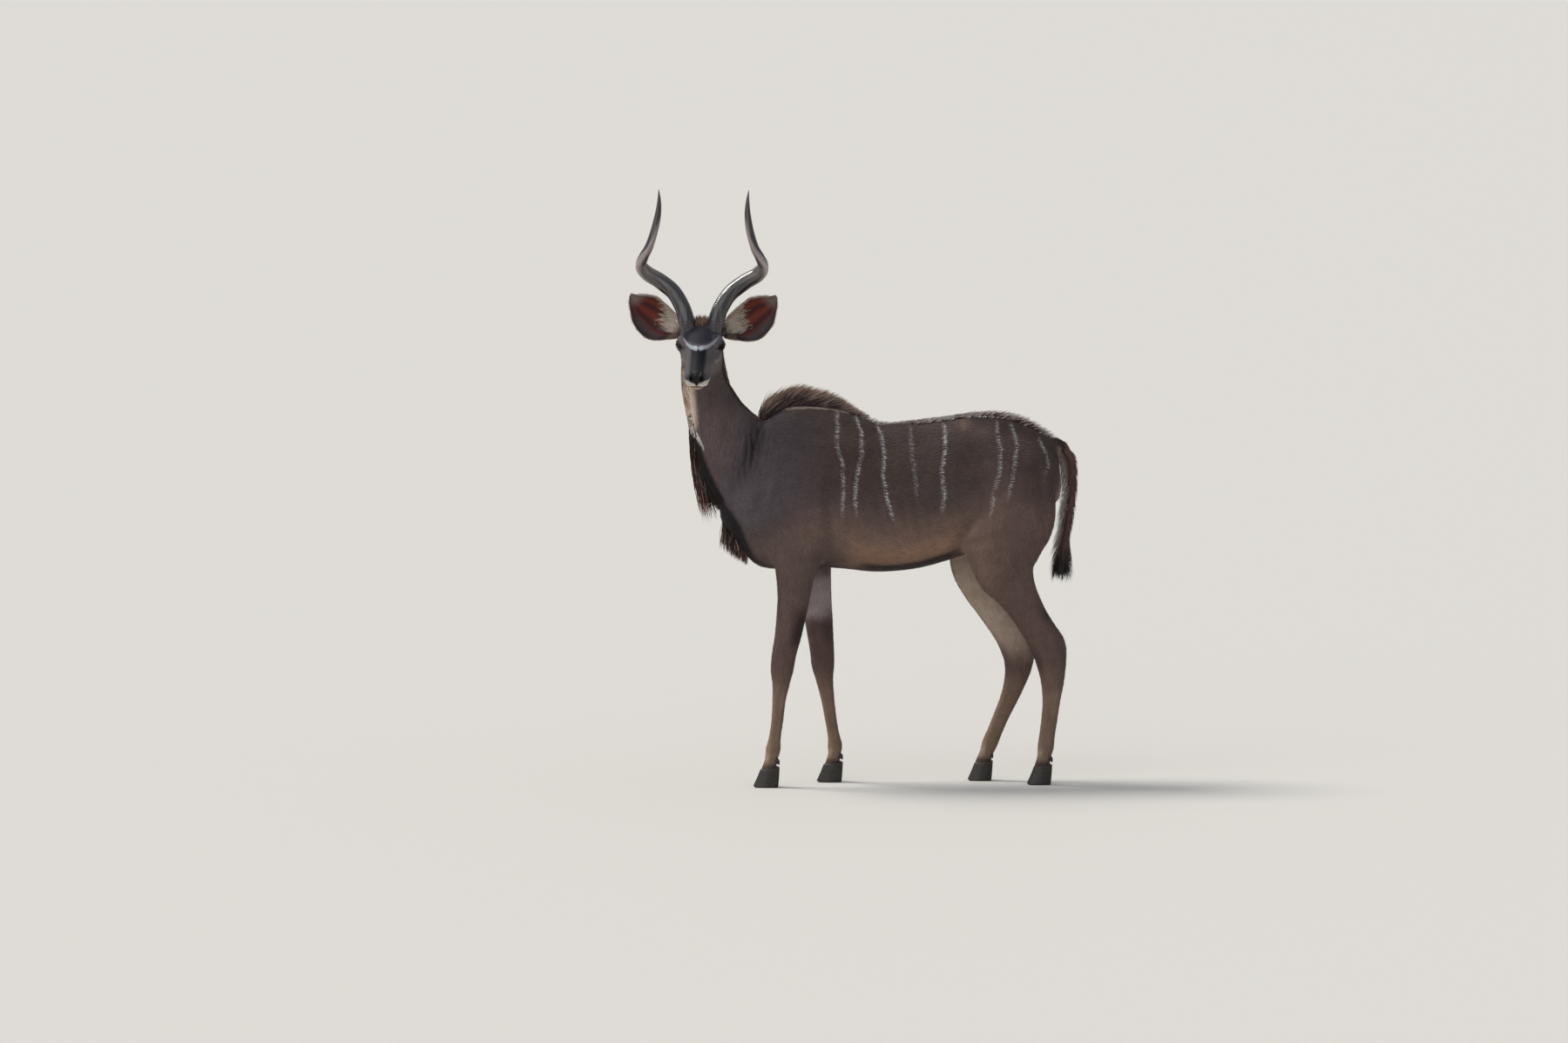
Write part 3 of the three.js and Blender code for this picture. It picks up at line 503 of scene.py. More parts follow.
def face_forms(out, ahead, up):
    """The same for the face: sockets, brow, nose, nostrils, lips and jaw."""
    o = np.abs(out)
    move = np.zeros(len(out))
    for height, a, ra, u, ru, low, high in FACE_FORMS:
        move += height * bell(ahead, a, ra) * bell(up, u, ru) * smooth(low, high, o)
    # Forehead, flat between the eyes, and the round bridge of the nose.
    move += 2.5 * bell(out, 0, 16) * smooth(40, 90, ahead) * fall(185, 215, ahead) * (up > -20)
    move -= 2.0 * bell(o, 28, 9) * bell(ahead, 110, 55) * (up > -25)
    # Nostrils, with a raised wing behind each.
    slot = nostril(o, up)
    move -= 11 * fall(0.55, 1.25, slot) * smooth(196, 208, ahead)
    move += 1.8 * bell(slot, 1.55, 0.35) * smooth(190, 206, ahead)
    # The groove down the middle of the nose pad, and the line of the mouth.
    move -= 2.6 * bell(out, 0, 2.2) * smooth(204, 214, ahead) * bell(up, -38, 12)
    line = mouth_line(ahead)
    move -= 4.2 * bell(up, line, 1.9) * smooth(118, 140, ahead)
    move += 1.6 * bell(up, line + 7, 4.5) * smooth(130, 160, ahead)
    move += 1.4 * bell(up, line - 6, 3.5) * smooth(150, 180, ahead)
    return move


def mouth_line(ahead):
    return -53 - 4.5 * smooth(120, 205, ahead) + 1.0 * smooth(215, 235, ahead)


EYE_GAZE = unit(np.array([0.71, -0.7, 0.0]))  # out, back, up, for the left eye in the face's frame
EYE_LONG = unit(np.cross([0.0, 0.0, 1.0], EYE_GAZE))
EYE_LONG = unit(EYE_LONG + np.array([0.0, 0.0, -0.14]))
EYE_TALL = np.cross(EYE_GAZE, EYE_LONG)
EYE_ACROSS = -EYE_LONG  # toward the nose


def eye_coords(out, ahead, up):
    """Across toward the nose, up, and toward the gaze from an eyeball's centre, for either eye."""
    v = np.stack([np.abs(out) - EYE_AT[0], -(ahead - EYE_AT[1]), up - EYE_AT[2]], -1)
    return v @ EYE_ACROSS, v @ EYE_TALL, v @ EYE_GAZE


LID = {"half": 19.0, "upper": 12.0, "lower": 8.6}


def almond(across, tall):
    """Under 1 inside the opening between the lids."""
    shape = np.sqrt(np.clip(1 - (across / LID["half"]) ** 2, 0, None))
    shape = np.maximum(shape * (1 - 0.12 * across / LID["half"]), 0.02)
    return np.where(tall > 0, tall / (LID["upper"] * shape), -tall / (LID["lower"] * shape))

def main_component(mesh, edges):
    """True for the vertices of the largest connected piece."""
    label = np.arange(len(mesh.vertices))
    while True:
        low = np.minimum(label[edges[:, 0]], label[edges[:, 1]])
        new = label.copy()
        np.minimum.at(new, edges[:, 0], low)
        np.minimum.at(new, edges[:, 1], low)
        new = new[new]
        if (new == label).all():
            break
        label = new
    return label == np.bincount(label).argmax()

def refine(mesh, chosen):
    """Splits the edges whose two ends are chosen."""
    def split(bm):
        edges = [e for e in bm.edges if chosen[e.verts[0].index] and chosen[e.verts[1].index]]
        bmesh.ops.subdivide_edges(bm, edges=edges, cuts=1, use_grid_fill=True)
        bmesh.ops.triangulate(bm, faces=[f for f in bm.faces if len(f.verts) > 4])

    edit(mesh, split)


def keep_main(mesh):
    """Drops all but the largest connected piece."""
    keep = main_component(mesh, get_edges(mesh))
    if not keep.all():
        edit(mesh, lambda bm: bmesh.ops.delete(
            bm, geom=[v for v, k in zip(bm.verts, keep) if not k], context="VERTS"))


def face_way(n):
    """Normals in the face's frame: out, ahead, up."""
    return n @ FACE_TURN * np.array([1, -1, 1])


def build_skin():
    """All flesh remeshed into one skin, smoothed, finer on the face, then sculpted."""
    verts, faces = join_arrays(flesh())
    obj = mesh_object("skin", place(verts), faces)
    face_outward(obj.data)
    whole = obj.modifiers.new("whole", "REMESH")
    whole.mode = "VOXEL"
    whole.voxel_size = 4.6 * MM
    evaluated(obj)
    mesh = obj.data
    keep_main(mesh)
    p = get_points(mesh)
    edges = get_edges(mesh)
    trunk = smooth(640, 800, p[:, 2]) * (1 - head_part(p)) * fall(775, 790, p[:, 0])
    p = relax(relax(p, edges, 6, 0.5), edges, 45, 0.6 * trunk)
    set_points(mesh, p)
    for level in range(2):
        p = get_points(mesh)
        out, ahead, up = face_coords(p)
        across, tall, gaze = eye_coords(out, ahead, up)
        near_eye = (np.hypot(across, tall) < 34) & (np.abs(gaze) < 34)
        muzzle = (ahead > 176) & (np.abs(out) < 60)
        refine(mesh, head_part(p) > 0.3 if level == 0 else muzzle | near_eye)
        p = get_points(mesh)
        set_points(mesh, relax(p, get_edges(mesh), 3, 0.5 * (head_part(p) > 0.2)))
    p = get_points(mesh)
    n = get_verts(mesh, "normal")
    head = head_part(p)
    depth = COAT_DEPTH * (1 - 0.45 * head) * (1 - 0.35 * fall(150, 500, p[:, 2]))
    face = face_forms(*face_coords(p)) * smooth(0.4, 0.9, head)
    p = p + n * (sculpt(p, n) + face - depth)[:, None]
    set_points(mesh, open_eyes(p))
    return obj


def open_eyes(p):
    """Draws the skin inside the lids' opening back behind the eyeball, and the lids out over it."""
    out, ahead, up = face_coords(p)
    across, tall, gaze = eye_coords(out, ahead, up)
    far = np.sqrt(across ** 2 + tall ** 2 + gaze ** 2)
    inside = almond(across, tall)
    near = (gaze > 2) & (far < 34)
    lid = EYE_RADIUS + 1.9 + 1.6 * bell(inside, 1.35, 0.35) - 0.8 * bell(inside, 2.2, 0.35)
    wanted = np.where(inside < 1.02, EYE_RADIUS - 6, np.maximum(far, lid))
    scale = np.where(near, wanted / np.maximum(far, 1e-6), 1.0)
    side = np.sign(out)
    centre = in_face(1, side * EYE_AT[0], EYE_AT[1], EYE_AT[2])
    return centre + (p - centre) * scale[:, None]


def lin(*rgb):
    v = np.array(rgb, float) / 255
    return np.where(v <= 0.04045, v / 12.92, ((v + 0.055) / 1.055) ** 2.4)


# Colours, in the photo's own numbers from 0 to 255.
TONES = {
    "flank": (78, 65, 62), "slate": (82, 72, 76), "low": (126, 103, 93), "rump": (73, 60, 58),
    "thigh": (98, 80, 74), "arm": (99, 83, 77), "leg": (98, 79, 73), "shank": (128, 106, 90),
    "inner": (160, 143, 130), "white": (205, 199, 190), "dark": (42, 33, 33), "belly": (42, 27, 26),
    "black": (22, 19, 22), "forehead": (45, 44, 54), "cheek": (95, 89, 92), "bridge": (13, 14, 22),
    # The pale throat tone is partly pale hair and partly painted rim light, as bright as the lit edges of
    # the throat and mane.
    "chevron": (176, 184, 190), "tan": (150, 126, 106), "pale": (176, 158, 143), "throat": (232, 212, 194),
    "pink": (64, 28, 26), "flesh": (138, 62, 42), "ear": (124, 108, 103), "earback": (104, 90, 84),
    "stripe": (196, 196, 198), "mane": (40, 31, 32), "tip": (176, 150, 134), "crest": (212, 204, 198),
    # The folds' tone is painted shade for creases, hollows and shaded patches.
    "rust": (92, 58, 46), "tail": (98, 72, 64), "nose": (10, 9, 12), "fold": (34, 29, 36),
    "warm": (152, 120, 99), "dorsal": (56, 42, 39), "neck": (94, 80, 80),
    "grey": (172, 158, 160), "haunch": (190, 170, 154),
}
LINEAR = {name: lin(*rgb) for name, rgb in TONES.items()}

# The stripes' lines down the flank, in photo pixels, and how strong each one is.
STRIPES = [
    ([(958, 463), (959, 490), (958, 511), (965, 532), (966, 559), (965, 593)], 0.75),
    ([(979, 477), (986, 495), (987, 522), (981, 546), (979, 570), (981, 592)], 1.0),
    ([(1001, 478), (1009, 500), (1013, 522), (1011, 546), (1015, 570), (1023, 598)], 0.95),
    ([(1042, 480), (1044, 522), (1048, 549), (1050, 575)], 0.4),
    ([(1076, 476), (1082, 492), (1082, 519), (1078, 540), (1081, 570), (1078, 590)], 1.0),
    ([(1141, 484), (1143, 508), (1146, 516), (1144, 543), (1137, 570), (1136, 592)], 0.8),
    ([(1158, 488), (1164, 508), (1161, 540), (1155, 572)], 0.75),
    ([(1190, 504), (1199, 522), (1201, 535), (1196, 545)], 0.7),
]


def stripe_marks(px, py, allow):
    """For each point: its place among the stripes, their spacing in millimetres, their strength."""
    lines = np.array([np.interp(py, [q[1] for q in s], [q[0] for q in s]) for s, _ in STRIPES])
    s = np.full(len(px), -0.49)
    gap = np.full(len(px), 60.0)
    before = px < lines[0]
    s[before] = -np.minimum((lines[0] - px)[before] / 60, 0.49)
    for i in range(len(lines) - 1):
        here = (px >= lines[i]) & (px < lines[i + 1])
        width = np.maximum(lines[i + 1] - lines[i], 4)
        s[here] = i + ((px - lines[i]) / width)[here]
        gap[here] = width[here]
    after = px >= lines[-1]
    s[after] = len(lines) - 1 + np.minimum((px - lines[-1])[after] / 60, 0.49)
    nearest = np.clip(np.round(s), 0, len(lines) - 1).astype(int)
    top = np.array([q[0][0][1] for q in STRIPES])[nearest]
    end = np.array([q[0][-1][1] for q in STRIPES])[nearest]
    power = np.array([q[1] for q in STRIPES])[nearest]
    fade = smooth(top - 5, top + 3, py) * fall(end - 16, end + 5, py)
    return np.stack([s, gap * PIXEL / MM, power * fade * allow], 1)


def near_line(px, py, line):
    """Distance to a bent line in pixels, and how far along it from 0 to 1."""
    line = np.array(line, float)
    best = np.full(len(px), 1e9)
    where = np.zeros(len(px))
    for i in range(len(line) - 1):
        d = line[i + 1] - line[i]
        t = np.clip(((px - line[i, 0]) * d[0] + (py - line[i, 1]) * d[1]) / (d @ d), 0, 1)
        far = np.hypot(px - line[i, 0] - t * d[0], py - line[i, 1] - t * d[1])
        closer = far < best
        best[closer] = far[closer]
        where[closer] = ((i + t) / (len(line) - 1))[closer]
    return best, where


# Lines of the coat's pattern, in photo pixels. The mane's edge and the throat's pale line are partly pale
# hair and partly painted rim light.
BEARD_LINE = [
    (794, 503), (797, 520), (803, 540), (812, 560), (822, 582), (836, 605), (846, 630), (852, 645),
]
MANE_EDGE = [(867, 477), (884, 472), (900, 469), (925, 467), (950, 468), (972, 472)]
BRISKET = [(846, 634), (858, 640), (872, 648)]
PALE_AND_LIT_THROAT = [(789, 446), (791, 468), (792, 486)]
WHITE_BAR = [(792, 492), (799, 497), (804, 505), (808, 514)]
CHEVRON = [
    [(785.4, 390.4), (789.6, 396.6), (794.4, 400.6), (799.4, 401.8)],
    [(824.4, 390.0), (819.2, 395.6), (812.4, 400.0), (805.2, 401.8)],
]
# Soft patches of painted light and shade on the body: a painted highlight on the hip bone, painted shade
# below it, on the withers, over the middle of the flank and behind the elbow, and painted light low on the
# neck. Across and its spread, down and its spread, tone, strength.
LIGHT_AND_SHADE_PATCHES = [
    (1103, 9, 487, 9, "low", 0.55), (1108, 24, 528, 26, "dorsal", 0.35), (905, 42, 492, 24, "fold", 0.25),
    (856, 20, 588, 38, "cheek", 0.6), (1000, 75, 530, 38, "dorsal", 0.4), (948, 9, 600, 60, "fold", 0.3),
]


def painter(name, count):
    """Colours of count points, all of one tone, and a function that paints another tone over them."""
    tone = np.tile(LINEAR[name], (count, 1))

    def over(mask, name, amount=1.0):
        tone[:] = tone + (LINEAR[name] - tone) * np.clip(mask * amount, 0, 1)[:, None]

    return tone, over


def paint(p, n):
    """The coat's colour, its stripe marks, and how bare it is, for points in the animal's frame."""
    x, y, z = p.T
    side = np.where(y < 0, -1.0, 1.0)
    px, py = side_pixels(p)
    head = head_part(p)
    rows = between(TRUNK, where_x(TRUNK, x))
    back, belly = rows[:, 1], np.minimum(rows[:, 2], 860)
    high = (z - belly) / np.maximum(back - belly, 50)
    body = (1 - head) * smooth(600, 760, z)
    tone, over = painter("flank", len(p))
    over(smooth(-60, -320, x) * smooth(850, 1050, z), "slate")
    rear = smooth(400, 560, x)
    over(fall(0.16 - 0.1 * rear, 0.5 + 0.25 * rear, high) * smooth(-350, -150, x), "low", 0.9)
    over(bell(high, 0.13, 0.07) * smooth(-80, 40, x) * fall(330, 420, x), "warm", 0.8)
    over(smooth(480, 640, x) * smooth(0.15, 0.7, high), "rump")
    over(smooth(420, 560, x) * fall(860, 1180, z), "thigh")
    over(fall(-110, 0, x) * fall(850, 1000, z), "arm")
    # Neck, a little lighter than the shoulder; the brown top of the rump; painted shade along the top of
    # the middle of the back, behind the elbow and before the thigh.
    over(fall(-520, -400, x - 0.55 * (z - 1200)) * (1 - head), "neck")
    over(smooth(1080, 1110, px) * smooth(0.84, 0.93, high) * body, "dorsal", 0.85)
    over(bell(px, 1016, 60) * smooth(0.82, 0.9, high) * body, "dorsal", 0.3)
    for cx, rx, cy, ry, name, amount in LIGHT_AND_SHADE_PATCHES:
        over(bell(px, cx, rx) * bell(py, cy, ry) * body, name, amount)
    over(bell(px + 0.5 * (py - 610), 1104, 9) * bell(py, 612, 26) * body, "fold", 0.3)
    # Dark line along the back, and the pale edge of the skin below the mane: partly pale hair and partly
    # painted rim light.
    over(body * fall(10, 26, np.abs(y)) * smooth(0.88, 0.95, high), "dark", 0.9)
    edge, _ = near_line(px, py, MANE_EDGE)
    over(fall(0.8, 3.6, edge) * body * smooth(8, 20, np.abs(y)), "throat", 0.5)
    # Belly and brisket.
    under = fall(0.05, 0.08, high) * body * smooth(-20, 60, x) * fall(330, 400, x)
    over(under, "belly", 0.95)
    brisket, _ = near_line(px, py, BRISKET)
    over(fall(2, 6, brisket) * body, "dark", 0.85)
    over(fall(40, 110, np.abs(y)) * fall(0.0, 0.12, high) * body, "belly", 0.6)
    # Painted shade in the hollow between neck and shoulder, darkest in streaks along its folds.
    streaky = 0.65 + 0.35 * np.sin(px * 0.95 + 1.2 * np.sin(py * 0.12))
    over(bell(px, 862, 17) * bell(py, 508, 44) * body, "slate", 0.75)
    over(bell(px, 861 - 0.3 * (py - 512), 10) * bell(py, 514, 36) * body * streaky, "fold")
    # Neck: pale throat below the chin, partly pale hair and partly painted rim light; white bar; dark line
    # of the beard.
    throat, _ = near_line(px, py, PALE_AND_LIT_THROAT)
    over(fall(3, 12, throat) * (1 - head), "throat", 0.85)
    beard, along = near_line(px, py, BEARD_LINE)
    over(fall(7 + 4 * along, 12 + 5 * along, beard) * (1 - head), "black", 0.95)
    bar, along = near_line(px, py, WHITE_BAR)
    along = np.sqrt(along)
    over(fall(4.0 - 3.8 * along, 6.2 - 4.9 * along, bar) * (1 - head), "white", 0.9)
    # Legs.
    leg = fall(560, 760, z)
    over(leg, "leg")
    over(fall(300, 470, z), "shank", 0.85)
    inner = smooth(0.05, 0.5, -n[:, 1] * side) * fall(900, 1000, z)
    fore = fall(150, 250, x)
    over(inner * fore * smooth(590, 640, z) * fall(740, 810, z), "grey", 0.9)
    # Darker on the backs of the forearms, less so on the right legs.
    forearm_back_dark = smooth(500, 560, z) * fall(620, 690, z) * smooth(-0.25, 0.45, n[:, 0])
    over(forearm_back_dark * fore * np.where(y < 0, 1.0, 0.55), "dark", 0.8)
    over(inner * (1 - fore) * smooth(420, 560, z), "haunch", 0.8)
    hock = smooth(0.1, 0.6, n[:, 0]) * (1 - fore) * bell(z, 625, 46)
    over(hock, "dark", 0.55)
    over(smooth(0.2, 0.7, -n[:, 0]) * (1 - fore) * bell(z, 470, 55), "dark", 0.4)
    over(smooth(0.3, 0.8, -n[:, 0]) * fall(300, 420, z), "tan", 0.5)
    over(fall(78, 100, z), "dark", 0.75)
    over(bell(z, 118, 16) * smooth(0.1, 0.7, -n[:, 0]), "pale", 0.5)
    # Rump and tail.
    tail = smooth(776, 788, x) * smooth(600, 700, z)
    rump = smooth(0.5, 0.9, n[:, 0]) * smooth(690, 740, x) * fall(60, 110, np.abs(y))
    over(rump * (1 - tail), "inner", 0.7)
    over(tail, "tail")
    over(tail * smooth(0.4, 0.85, -n[:, 0]), "white", 0.9)
    allow = body * smooth(0.2, 0.5, np.abs(n[:, 1]))
    marks = stripe_marks(px, py, allow)
    face, bare = paint_face(p, n)
    tone = tone + (face - tone) * head[:, None]
    patches = 1 + 0.07 * noise3(p, 90, 3) + 0.05 * noise3(p, 28, 4)
    return tone * patches[:, None], marks, bare * head


def paint_face(p, n):
    """The face's colour and how bare it is."""
    out, ahead, up = face_coords(p)
    o = np.abs(out)
    n_face = face_way(n)
    front = smooth(0.05, 0.5, n_face[:, 2] * 0.6 + n_face[:, 1] * 0.5) * smooth(-66, -50, up)
    px, py = pixels(place(p))
    tone, over = painter("cheek", len(p))
    over(smooth(-160, -60, up) * smooth(-40, -110, ahead), "slate", 0.8)
    over(fall(-98, -74, up), "pale", 0.2)
    # Dark forehead down to the white chevron between the eyes.
    above = fall(395, 400, py + 0.02 * (px - 803.5) ** 2)
    over(front * above * fall(58, 74, o), "forehead")
    # The nose band, black below the chevron and browner to its sides.
    band = fall(20, 34, o)
    over(front * band * smooth(398, 404, py), "bridge")
    over(front * fall(30, 50, o) * smooth(400, 420, py) * 0.4, "bridge")
    for half in CHEVRON:
        far, f = near_line(px, py, half)
        over(front * fall(0.1 + 1.9 * f, 0.9 + 2.3 * f, far), "chevron", 0.4 + 0.6 * f)
    # Cheeks: pale line down the jaw, partly pale hair and partly painted rim light; two small pale spots.
    over(bell(up, -66, 12) * smooth(-40, 20, ahead) * fall(150, 180, ahead), "pale", 0.65)
    over(bell(up, -34, 5.5) * bell(ahead, 66, 7) * smooth(25, 40, o), "white", 0.4)
    over(bell(up, -44, 5) * bell(ahead, 88, 6) * smooth(25, 40, o), "white", 0.35)
    # Round the eye: dark rim, dark stroke toward the nose.
    across, tall, gaze = eye_coords(out, ahead, up)
    rim = almond(across, tall)
    near = (gaze > 0) & (np.hypot(across, tall) < 40)
    over(near * fall(1.3, 2.1, rim), "black", 0.92)
    over(near * bell(across, 21, 7) * bell(tall, -2.5, 3.0), "black", 0.85)
    over(near * bell(tall, 17, 4) * smooth(-20, 5, across), "cheek", 0.5)
    # Muzzle: black nose pad, white upper lips, dark mouth, pale chin.
    line = mouth_line(ahead)
    top = line + 16 + 8 * smooth(12, 26, o)
    lips = smooth(182, 198, ahead) * smooth(line - 0.5, line + 2, up) * fall(top, top + 6, up)
    over(lips, "white", 0.95)
    over(smooth(120, 160, ahead) * fall(line - 4, line + 1, up), "pale", 0.85)
    pad = smooth(196, 206, ahead) * fall(13, 19, o + 0.55 * np.maximum(-26 - up, 0))
    pad = np.maximum(pad, smooth(203, 212, ahead) * bell(up, -21, 12) * fall(26, 31, o))
    pad *= smooth(line + 3, line + 7, up)
    over(pad, "nose")
    over(bell(up, line, 2.4) * smooth(120, 150, ahead), "black", 0.95)
    slot = nostril(o, up)
    over(smooth(196, 206, ahead) * fall(0.9, 1.3, slot), "black")
    bare = np.maximum.reduce([pad, near * fall(1.05, 1.4, rim), bell(up, line, 2.4) * (ahead > 135),
                              smooth(196, 206, ahead) * fall(0.9, 1.5, slot)])
    return tone, bare


# Where each source of flesh lies on the coat's unwrap: left, bottom, width, height.
ATLAS = {
    "trunk": (0.01, 0.01, 0.5, 0.5), "neck": (0.53, 0.01, 0.25, 0.3), "head": (0.53, 0.33, 0.3, 0.3),
    "fore_left": (0.01, 0.53, 0.11, 0.46), "fore_right": (0.13, 0.53, 0.11, 0.46),
    "hind_left": (0.25, 0.53, 0.13, 0.46), "hind_right": (0.39, 0.53, 0.13, 0.46),
    "tail": (0.8, 0.01, 0.06, 0.3),
    "ear_left": (0.53, 0.65, 0.22, 0.34), "ear_right": (0.76, 0.65, 0.22, 0.34),
}


def kd_tree(points):
    tree = KDTree(len(points))
    for i, v in enumerate(points):
        tree.insert(v, i)
    tree.balance()
    return tree


class Lie:
    """The lie of the coat and its unwrap over the skin."""

    def __init__(self, obj):
        self.mesh = obj.data
        self.p = get_points(self.mesh)
        self.n = get_verts(self.mesh, "normal")
        at, flow, uv = [], [], []
        for part, verts, along, rings in sources:
            sides = len(verts) // rings
            ring, spoke = np.divmod(np.arange(len(verts)), sides)
            left, low, wide, tall = ATLAS[part]
            uv.append(np.stack([left + wide * (spoke + 0.5) / sides, low + tall * ring / rings], 1))
            at.append(verts)
            flow.append(along)
        at, flow, uv = (np.concatenate(a) for a in (at, flow, uv))
        tree = kd_tree(at)
        found = np.array([tree.find(v)[1] for v in self.p])
        self.uv = uv[found]
        lie = flow[found]
        trunk = (1 - head_part(self.p)) * smooth(650, 850, self.p[:, 2])
        lie = lie + trunk[:, None] * np.array([0.0, 0, -0.35])
        lie = relax(lie, get_edges(self.mesh), 20, 0.8)
        lie -= (lie * self.n).sum(1, keepdims=True) * self.n
        self.lie = unit(lie)
        self.tree = None

    def nearest(self, points):
        """The nearest vertex of the skin to each point."""
        if self.tree is None:
            self.tree = kd_tree(self.p)
        return np.array([self.tree.find(v)[1] for v in points])


def ribbons(name, root, lean, pull, flat, length, width, segments, bend, uv, colours, sink=0.0, marks=None,
             belly=0.9, taper=1.8, curl=0.0):
    """Flat tapered tufts or locks as one mesh. Arrays hold one row for each; colours are root and tip."""
    count = len(root)
    lean = unit(lean)
    at = root - lean * sink
    along = lean.copy()
    step = (length + sink)[:, None] / segments
    points, tones = [], []
    phase = rng.uniform(0, 6.28, count)
    for k in range(segments + 1):
        f = k / segments
        if k < segments:
            half = (width / 2) * (0.55 + belly * f) * (1 - f ** taper)
            across = unit(np.cross(along, flat)) * half[:, None]
            points += [at + across, at - across]
        else:
            points.append(at)
        tone = colours[0] + (colours[1] - colours[0]) * min(f * 1.15, 1.0) ** 1.6
        tones += [tone] * (2 if k < segments else 1)
        swing = unit(np.cross(along, flat)) * (curl * np.sin(phase + 4.5 * f))[:, None] if curl else 0
        at = at + (along + swing) * step
        along = unit(along + (pull - along) * bend)
    per = 2 * segments + 1
    verts = np.stack(points, 1).reshape(-1, 3)
    base = (np.arange(count) * per)[:, None, None]
    quads = np.array([[2 * k, 2 * k + 1, 2 * k + 3, 2 * k + 2] for k in range(segments - 1)]).reshape(-1, 4)
    tip = np.array([[2 * segments - 2, 2 * segments - 1, 2 * segments]])
    faces = [(base + quads[None]).reshape(-1, 4), (base + tip[None]).reshape(-1, 3)]
    obj = mesh_object(name, place(verts), [f for f in faces if len(f)])
    mesh = obj.data
    tone = np.stack(tones, 1).reshape(-1, 3)
    set_floats(mesh, "tone", with_one(tone))
    tip_part = np.tile(np.concatenate([np.repeat(np.arange(segments) / segments, 2), [1.0]]), count)
    shade = np.repeat(rng.uniform(-1, 1, count), per)
    set_floats(mesh, "trait", np.stack([np.zeros(len(verts)), tip_part, shade], 1))
    mark = np.zeros((len(verts), 3)) if marks is None else np.repeat(marks, per, 0)
    set_floats(mesh, "mark", mark)
    layer = mesh.uv_layers.new(name="OFBake")
    owner = np.zeros(len(mesh.loops), np.int32)
    mesh.loops.foreach_get("vertex_index", owner)
    corner = rng.uniform(-0.0015, 0.0015, (len(owner), 2))
    layer.data.foreach_set("uv", (uv[owner // per] + corner).astype(np.float32).ravel())
    return obj


def dress(obj, slot, material, *nodes):
    obj.data.materials.clear()
    obj.data.materials.append(material)
    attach(obj, "root")
    if nodes:
        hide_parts(*nodes)


# Materials.
def rgba(*rgb):
    return (*lin(*rgb), 1.0)


class Finish:
    """A principled material, with short calls for the nodes that feed it."""

    def __init__(self, name, **values):
        self.material = bpy.data.materials.new(name)
        self.material.use_nodes = True
        self.tree = self.material.node_tree
        self.shader = next(n for n in self.tree.nodes if n.type == "BSDF_PRINCIPLED")
        for key, value in values.items():
            self.set(key, value)

    def set(self, key, value):
        """A number, a colour or a node's output into the shader's socket of that name."""
        self.put(self.shader.inputs[key.replace("_", " ")], value)

    def put(self, socket, value):
        if isinstance(value, bpy.types.NodeSocket):
            self.tree.links.new(value, socket)
        else:
            socket.default_value = value

    def node(self, kind, inputs, output=0, **settings):
        node = self.tree.nodes.new("ShaderNode" + kind)
        for key, value in settings.items():
            setattr(node, key, value)
        for key, value in inputs.items():
            self.put(node.inputs[key], value)
        return node.outputs[output]

    def object_place(self):
        return self.node("TexCoord", {}, "Object")

    def attribute(self, name, output="Vector"):
        return self.node("Attribute", {}, output, attribute_name=name)

    def parts(self, name):
        """The three numbers of a vector attribute."""
        return self.node("SeparateXYZ", {0: self.attribute(name)}).node.outputs

    def math(self, operation, *values, clamp=False):
        return self.node("Math", dict(enumerate(values)), operation=operation, use_clamp=clamp)

    def noise(self, vector, scale, detail=2.0, roughness=0.5):
        inputs = {"Scale": scale, "Detail": detail, "Roughness": roughness, "Vector": vector}
        return self.node("TexNoise", inputs, "Fac")

    def spread(self, value, low, high, to_low=0.0, to_high=1.0, way="LINEAR"):
        inputs = {"From Min": low, "From Max": high, "To Min": to_low, "To Max": to_high, "Value": value}
        return self.node("MapRange", inputs, "Result", interpolation_type=way)

    def mix(self, factor, a, b, blend="MIX"):
        return self.node("Mix", {0: factor, 6: a, 7: b}, 2, data_type="RGBA", blend_type=blend)

    def shaded(self, colour, light):
        """A colour times a grey."""
        return self.mix(1.0, colour, self.node("CombineXYZ", {k: light for k in range(3)}), "MULTIPLY")

    def ramp(self, value, *stops):
        output = self.node("ValToRGB", {0: value})
        for element, (position, colour) in zip(output.node.color_ramp.elements, stops):
            element.position, element.color = position, colour
        return output

    def bump(self, height, strength, distance, under=None):
        inputs = {"Strength": strength, "Distance": distance, "Height": height}
        if under:
            inputs["Normal"] = under
        normal = self.node("Bump", inputs, "Normal")
        self.set("Normal", normal)
        return normal


